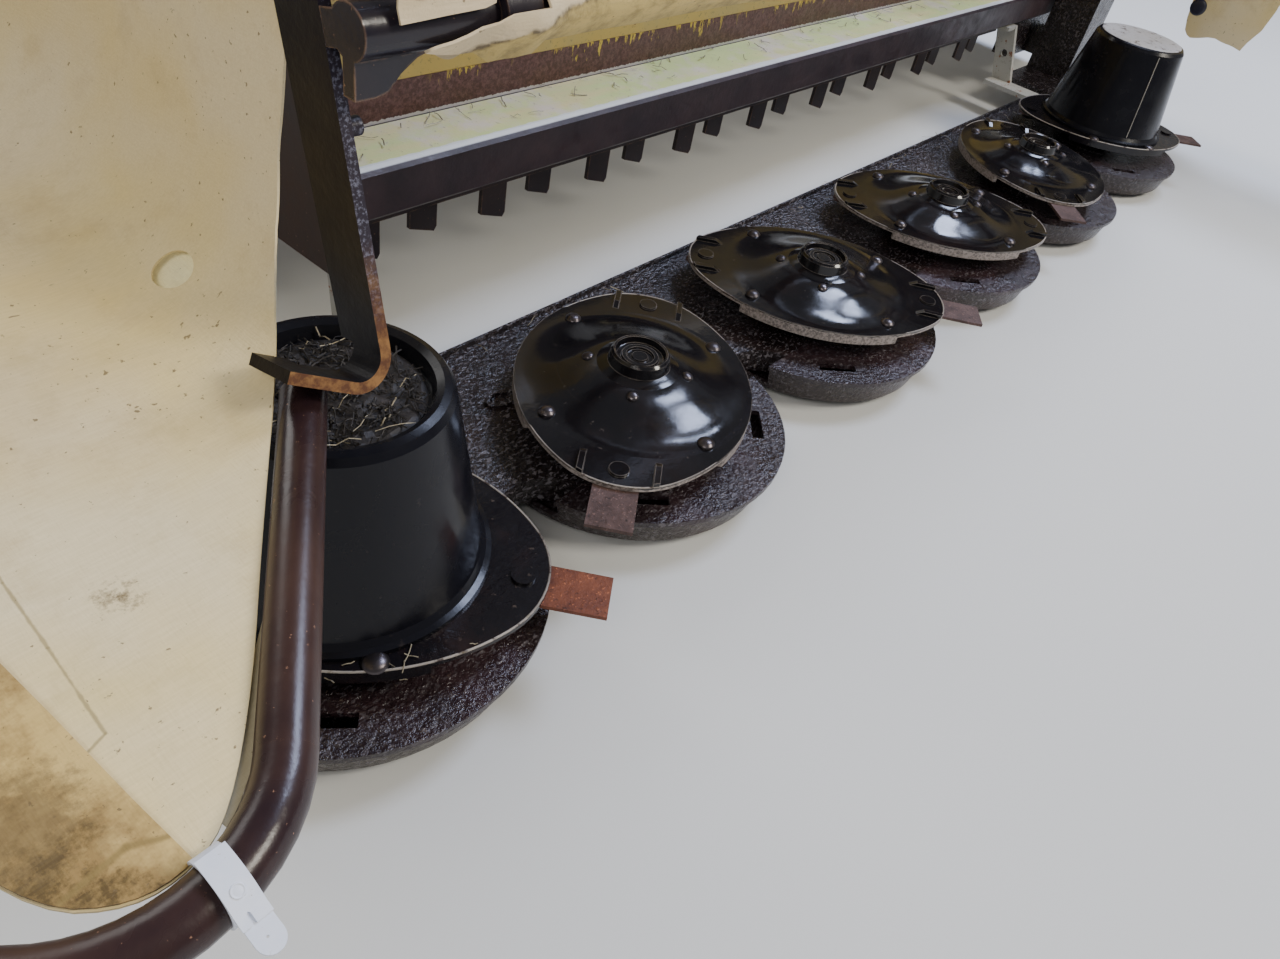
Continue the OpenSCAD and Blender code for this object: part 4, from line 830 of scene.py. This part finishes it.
total = on_path(path, RIGHT)[1]
tip = [(polar(6.5, a)[0], total - 7 + polar(7, a)[1]) for a in range(0, 181, 15)]
straps.append(strap("nose_strap_tail", path, RIGHT, [(-6.5, 0), (6.5, 0)] + tip,
                    [circle(0.5, total - 8, 0.7, 8)], thick=1.3, step=3))
stud = top_place(0.3, 20.5)
lean = (top_place(0.3, 21.5) - top_place(0.3, 19.5)).normalized()
profile = [(0, 0.95), (2.0, 0.95), (2.5, 0.8), (2.7, 1.15), (3.2, 1.05), (3.4, 0.5), (3.4, 0)]
mesh = lathe("nose_strap_stud", profile, stud, RIGHT.cross(lean), 28)
straps.append(piece("nose_strap_stud", mesh, "strap"))
for i, y in enumerate((-90, -280, -480)):
    straps.append(loop_strap("leg_strap_%d" % (i + 1), hooped(LEG_X, y, 0), -RIGHT, HOOP_UP, 28, 50, lift=4.2,
                             stands_for=["canvas_straps"]))


# -------- rear flap, front and far curtains
FLAP_Y = 43.2
# Distance from the near end and drop of the lower edge
FLAP = [(0, 13.5), (48, 22.5), (66, 30.5), (80, 38.5), (92, 33.5), (113, 24.5), (135, 18.5), (200, 15.5),
        (330, 23.5), (470, 17.5), (640, 25.5), (800, 19.5), (990, 25.5), (1180, 18.5), (1400, 25.5),
        (1620, 19.5), (1820, 25.5), (1980, 19.5), (2100, 29.5), (2205, 27.5)]


def by_sleeve(x, start, rise=9):
    """1 beside a sleeve of the folding guard, 0 from start mm away."""
    return clamp((start - min(abs(x - k) for k in SLEEVES)) / rise)


def on_flap(x, z):
    loose = clamp((GUARD_Z - 14 - z) / 20)
    y = FLAP_Y - 6.5 * by_sleeve(x, 31) + 0.6 * ripple(x, z, 1, 120) + loose * 5 * ripple(x, z, 5, 55)
    return mm(x, y, z)


lower = rounded([(1015 - d, GUARD_Z - drop) for d, drop in FLAP], 2)
notches = [(x + side, z) for x in SLEEVES for side, z in ((-17, 590), (-17, 531), (17, 531), (17, 590))]
outline = lower + [(-1190, 590)] + notches + [(1015, 590)]
flap, area_flat = cloth_piece("rear_flap", outline, 11, on_flap, 2.0, "drape", stands_for=["hinge_flap"])


def round_tube(angle, radius=19.5):
    """Point (y, z) beside the cross tube."""
    y, z = polar(radius, angle)
    return GUARD_Y + y, GUARD_Z + z


# Section (y, z) of the curtain from its top edge down and round the tube
FALL = [(66, 1100.7), (66, 660), (66.5, 630), (69, 606), (74.5, 588)]
FALL += [round_tube(t) for t in range(56, -97, -8)]
FALLEN = lengths_of(FALL)


def fall_at(angle):
    """Length down the curtain at an angle round the cross tube."""
    k = (56 - angle) / 8
    i = min(int(k), len(FALL) - 7)
    return FALLEN[5 + i] + (k - i) * (FALLEN[6 + i] - FALLEN[5 + i])


def on_curtain(x, q):
    i, t = segment(FALLEN, q)
    y = FALL[i][0] + (FALL[i + 1][0] - FALL[i][0]) * t
    z = FALL[i][1] + (FALL[i + 1][1] - FALL[i][1]) * t
    out = clamp((q - FALLEN[4]) / 20)
    lift = out * (6.5 * by_sleeve(x, 28) + 0.4 + 0.8 * ripple(x, q, 6, 45))
    d = math.dist((y, z), (GUARD_Y, GUARD_Z))
    y += lift * (y - GUARD_Y) / d + (1 - out) * (ripple(x, q * 0.25, 2, 110) + 0.4 * ripple(x, q, 7, 60))
    z += lift * (z - GUARD_Z) / d
    return mm(x, y, z)


wave = [(x, fall_at(-72) - 1.5 * ripple(x, 0, 8, 90)) for x in range(900, -1180, -25)]
under_edge = [(950, fall_at(-60)), (925, fall_at(-78))] + wave + [(-1190, fall_at(-86))]
near_edge = [(904.7, 0)] + [(x, fall_at(angle)) for x, angle in (
    (904.7, 16), (934, 15), (943, 6), (952, -1), (962, -10), (972, -17), (984, -22), (991, -29), (974, -44))]
far_edge = [(-1190, fall_at(10)), (-1142, fall_at(16)), (-1109.7, fall_at(16)), (-1109.7, 0)]
outline = near_edge + under_edge + far_edge
front, area_flat = cloth_piece("front_cloth", outline, 16, on_curtain, 1.8, "soiled", body="front_guard",
                               stands_for=["front_curtain"])


LAP = [(84, 700), (84, 610), (83.2, 592), (82.4, 580)] + [round_tube(t, 20) for t in (38, 28, 18)]


def on_lap(x, q):
    k = min(max(bisect.bisect_left([-p[1] for p in LAP], -q), 1), len(LAP) - 1)
    a, b = LAP[k - 1], LAP[k]
    y = a[0] + (b[0] - a[0]) * (a[1] - q) / (a[1] - b[1]) + 0.6 * ripple(x, q, 11, 40)
    return mm(x, y, q)


low = [(x, round_tube(angle)[1]) for x, angle in ((1009, 22), (979, 26), (950, 29), (941, 35))]
edge = [(941, 590), (908, 593), (908, 700), (1009, 700)]
ties = [cloth_piece("curtain_lap", low + edge, 8, on_lap, 1.5, "drape", [circle(994, 584, 6, 16)],
                    "front_guard")[0]]
profile = [(6.2, -1.4), (9.4, -1.4), (10.2, 0.6), (9.4, 1.8), (7.2, 1.8), (6.2, 0.6), (6.2, -1.4)]
mesh = lathe("lap_grommet", profile, at(0.994, 0.0828, 0.584), FORWARD, 24)
ties.append(piece("lap_grommet", mesh, "ring", "front_guard"))


def curtain_tie(name, x, z, inward):
    ties.append(loop_strap(name, mm(x, GUARD_Y, z), inward, FORWARD, 24, 48, "front_guard"))


for i in range(9):
    curtain_tie("curtain_tie_%d" % (i + 1), 860 - i * 240.5, 1116, -UPWARD)
for i, z in enumerate((640, 850, 1050)):
    curtain_tie("curtain_side_tie_%d" % (2 * i + 1), SLEEVES[1], z, -RIGHT)
    curtain_tie("curtain_side_tie_%d" % (2 * i + 2), SLEEVES[0], z, RIGHT)


def on_far(y, z):
    return mm(FAR_X + 1.1 * ripple(y, z, 4, 90), y, z)


edge = [(150, 460), (150, 330), (144, 285), (129, 252), (124, 232)] + rounded(
    [(124, 232), (102, 236), (80, 236), (54, 240), (20, 226), (2, 222), (-17, 240), (-32, 320), (-180, 318),
     (-290, 330), (-290, 420)], 1)
outline = [(-290, 699.7), (150, 699.7)] + edge
button = (-9, 288)
far, area_flat = cloth_piece("far_cloth", outline, 14, on_far, 2.0, "cloth", [circle(*button, 8, 20)],
                             stands_for=["far_canvas"])
profile = [(0, -2.6), (14, -2.6), (18, -1.6), (19, 0), (18, 2.2), (13, 3.6), (6, 4.4), (0, 4.6)]
mesh = lathe("far_grommet", profile, mm(FAR_X, *button), RIGHT, 28)
ties = [piece("far_grommet", mesh, "dark_ring")]
for i, y in enumerate((-250, -75, 100)):
    ties.append(loop_strap("far_tie_%d" % (i + 1), mm(FAR_X, y, 715), -UPWARD, RIGHT, 26, 44))


# -------- rotor trim
def joined(name, meshes):
    bm = bmesh.new()
    for part in meshes:
        bm.from_mesh(part)
    return to_mesh(bm, name)


def sweep(name, path, radius, closed=True, n=6):
    """Round wire along a line of points."""
    bm = bmesh.new()
    rings = []
    for i, p in enumerate(path):
        before = path[i - 1] if closed or i else p
        after = path[(i + 1) % len(path)] if closed or i + 1 < len(path) else p
        along = (after - before).normalized()
        u = along.cross(UPWARD).normalized()
        v = along.cross(u)
        rings.append([bm.verts.new(p + u * x + v * y) for x, y in circle(0, 0, radius, n)])
    for a, b in zip(rings, rings[1:] + (rings[:1] if closed else [])):
        join_rings(bm, a, b, n)
    bmesh.ops.recalc_face_normals(bm, faces=bm.faces)
    return to_mesh(bm, name, smooth=True)


def oval_ring(a, b, end_r, n=120):
    """Outline of the discs' oval: two end circles joined by two flatter arcs."""
    side_r = ((a - end_r) ** 2 + b ** 2 - end_r ** 2) / (2 * (b - end_r))
    out = []
    for i in range(n):
        t = math.tau * i / n
        c, s = math.cos(t), math.sin(t)
        h = a - end_r
        r_end = h * abs(c) + math.sqrt(max(end_r ** 2 - (h * s) ** 2, 0))
        k = side_r - b
        r_side = -k * abs(s) + math.sqrt(side_r ** 2 - (k * c) ** 2)
        split = side_r * h / (side_r - end_r)
        r = r_side if r_side * abs(c) < split else r_end
        out.append((r * c, r * s))
    return out


TURNS = [125, 35, 125, 132, 42, 132]
OVAL = (185, 137, 94)  # half length, half width and end radius, in mm
# Bolt heads: radius and height of their circle, angles, outward lean, sides, profile in mm
RIM_HEADS = (0.128, 0.1005, (43, 137, 223, 317), 0, 20,
             [(0, 5.2), (4, 5.0), (7.5, 3.6), (8.6, 2.0), (9.6, 1.6), (9.6, -1)])
DOME_HEADS = (0.058, 0.1158, (0, 90, 180, 270), 0.3, 18,
              [(0, 3.8), (3, 3.7), (5.8, 2.6), (7.0, 0.8), (7.0, -2)])
DRUM_HEADS = (0.134945, RIM_TOP, (62, 119, 242, 299), 0, 22,
              [(0, 5.5), (5, 5.2), (9, 3.6), (11.5, 1.0), (11.5, -1)])
for i, turn in enumerate(TURNS):
    centre = at(NEAR_X - ROTOR_PITCH * i, 0, 0)
    body = "rotor_%d" % (i + 1)
    c, s = polar(0.001, turn)
    edge = [centre + Vector((x * c - y * s, x * s + y * c, RIM_TOP - 0.0004)) for x, y in oval_ring(*OVAL)]
    piece("rim_bead_%d" % (i + 1), sweep("rim_bead", edge, 0.0012), "bead", body)
    heads = []
    for r, z, angles, lean, sides, profile in (RIM_HEADS, DOME_HEADS) if 0 < i < 5 else (DRUM_HEADS,):
        for a in angles:
            x, y = polar(r, a + turn)
            axis = Vector((x * lean, y * lean, 0.058))
            heads.append(lathe("head", profile, centre + Vector((x, y, z)), axis, sides))
    piece("rotor_bolts_%d" % (i + 1), joined("rotor_bolts", heads), "bolt", body)


# -------- bearing bolts and wheel nuts
def hexagon(place, axis, size):
    """Hexagon head on a washer."""
    bolt, washer = [(0, 0.5), (0.42, 0.5), (0.5, 0.42), (0.5, 0)], [(0.2, 0.09), (0.66, 0.09), (0.7, 0)]
    return [lathe("hex", [(r * size, h * size) for r, h in profile], place, axis, n)
            for profile, n in ((bolt, 6), (washer, 20))]


def bolt_circle(name, centre, axis, radius, count, size, body):
    heads = []
    for k in range(count):
        a = math.tau * (k + 0.5) / count
        heads += hexagon(centre + Vector((0, math.cos(a), math.sin(a))) * radius, axis, size)
    piece(name, joined(name, heads), "zinc", body)


def middle(name):
    low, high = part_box(name)
    return (Vector(low) + Vector(high)) / 2


plates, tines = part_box("side_plates"), middle("tine_rotor")
for side, x, out in (("near", plates[1][0], RIGHT), ("far", plates[0][0], -RIGHT)):
    bolt_circle("bearing_bolts_" + side, Vector((x, tines.y, tines.z)), out, 0.052, 6, 17, "frame")
    hub = middle("rim_" + side)
    for face in (1, -1):
        centre = hub + RIGHT * (face * 0.004 - 0.010)
        name = "wheel_nuts_%s_%d" % (side, face > 0)
        bolt_circle(name, centre, RIGHT * face, 0.085, 5, 21, "wheel_" + side)


# -------- chaff
def flakes(name, count, spot, long, wide, lift, seed):
    """Loose bent strips lying where spot() says."""
    rnd = random.Random(seed)
    bm = bmesh.new()
    for _ in range(count):
        x, y, z = spot(rnd)
        length, w = rnd.uniform(*long), rnd.uniform(*wide)
        turn, tilt = rnd.uniform(0, math.tau), rnd.uniform(-0.25, 0.25)
        along = Vector((math.cos(turn), math.sin(turn), tilt)).normalized()
        across = along.cross(UPWARD).normalized()
        bow = rnd.uniform(-0.25, 0.25)
        rows = []
        for k in range(4):
            p = Vector((x, y, z)) + (along * (k / 3 - 0.5) + across * bow * (k / 3) ** 2) * length
            p.z = max(p.z + rnd.uniform(0, lift), z)
            rows.append([bm.verts.new(p + q) for q in (-across * w / 2, UPWARD * w * 0.4, across * w / 2)])
        for a, b in zip(rows, rows[1:]):
            for k in (0, 1):
                bm.faces.new([a[k], a[k + 1], b[k + 1], b[k]])
            bm.faces.new([a[2], a[0], b[0], b[2]])
        bm.faces.new(rows[0])
        bm.faces.new(rows[-1][::-1])
    bmesh.ops.recalc_face_normals(bm, faces=bm.faces)
    return to_mesh(bm, name)


DISH_Z, DISH_R = 0.264, 0.071  # dish on top of the near drum


def lying(x, y, z):
    return (*at(x, y, 0)[:2], z)


def on_dish(rnd):
    r, a = DISH_R * 0.93 * math.sqrt(rnd.random()), rnd.uniform(0, math.tau)
    return lying(NEAR_X + r * math.cos(a), r * math.sin(a), DISH_Z + 0.001)


def on_carrier(rnd):
    x, y = polar(rnd.uniform(0.132, 0.165), rnd.uniform(-80, 60) + 35)
    return lying(NEAR_X + x, y, RIM_TOP + 0.0006)


def on_bar(rnd):
    return lying(rnd.uniform(-1.05, 1.05), rnd.uniform(-0.21, -0.165), 0.0556)


def on_beam(rnd):
    return lying(rnd.uniform(-1.5, 0.78), rnd.triangular(-0.386, -0.31, -0.384), BEAM_TOP + 0.0006)


def dirt_bed():
    """Uneven layer of dirt in the near drum's dish."""
    bm = bmesh.new()
    rings = []
    steps, around = 13, 48
    for k in range(steps + 1):
        ring = []
        for x, y in circle(NEAR_X, 0, DISH_R * 0.985 * k / steps, around if k else 1):
            p = at(x, y, DISH_Z)
            high = 0.0005 + 0.0045 * max(0.0, noise.noise(p * 70) + 0.35) * (k < steps)
            ring.append(bm.verts.new(p + UPWARD * high))
        rings.append(ring)
    for a, b in zip(rings, rings[1:]):
        join_rings(bm, a, b, around)
    return to_mesh(bm, "dish_dirt")


# Light grey top on the far drum.
LID_Z = 0.278
profile = [(0, 0.5), (60, 0.5), (80, 0.4), (83, 0.1), (83, -0.6)]
mesh = lathe("far_lid_grey", profile, at(FAR_DRUM_X, 0, LID_Z), UPWARD, 48)
piece("far_lid_grey", mesh, "lid", "rotor_6")
# Bright line down the far drum's side: a painted highlight of the glare there.
seam = []
for r, z in ((0.0925, 0.268), (0.107, 0.190), (0.1212, 0.112)):
    x, y = polar(r, 44)
    seam.append(at(FAR_DRUM_X + x, y, z))
mesh = sweep("far_drum_glare_line", seam, 0.0011, closed=False)
piece("far_drum_glare_line", mesh, "bright", "rotor_6")
piece("dish_dirt", dirt_bed(), "chaff", "rotor_1")
# Columns: piece, count, place, length, width, lift, material, slot, body
LOOSE = [
    ("dish_chaff", 420, on_dish, (0.006, 0.022), (0.0008, 0.002), 0.006, "chaff", "disc_steel", "rotor_1"),
    ("dish_straw", 22, on_dish, (0.012, 0.034), (0.0007, 0.0014), 0.009, "straw", "disc_steel", "rotor_1"),
    ("carrier_straw", 26, on_carrier, (0.006, 0.018), (0.0005, 0.0011), 0.002, "straw", "disc_steel",
     "rotor_1"),
    ("bar_straw", 46, on_bar, (0.008, 0.030), (0.0007, 0.0016), 0.004, "straw", "bar_steel", "frame"),
    ("beam_straw", 110, on_beam, (0.006, 0.030), (0.0007, 0.0018), 0.004, "straw", "cream_paint", "frame"),
]
for seed, (name, count, spot, long, wide, lift, mat, slot, body) in enumerate(LOOSE, 1):
    piece(name, flakes(name, count, spot, long, wide, lift, seed), mat, body)


# -------- floor
def make_floor():
    mesh = bpy.data.meshes.new("floor")
    s = 30
    mesh.from_pydata([(-s, -s, 0), (s, -s, 0), (s, s, 0), (-s, s, 0)], [], [(0, 1, 2, 3)])
    mesh.materials.append(Tree("floor_pale").done((0.62, 0.62, 0.60), 0.8))
    linked("floor", mesh)


make_floor()
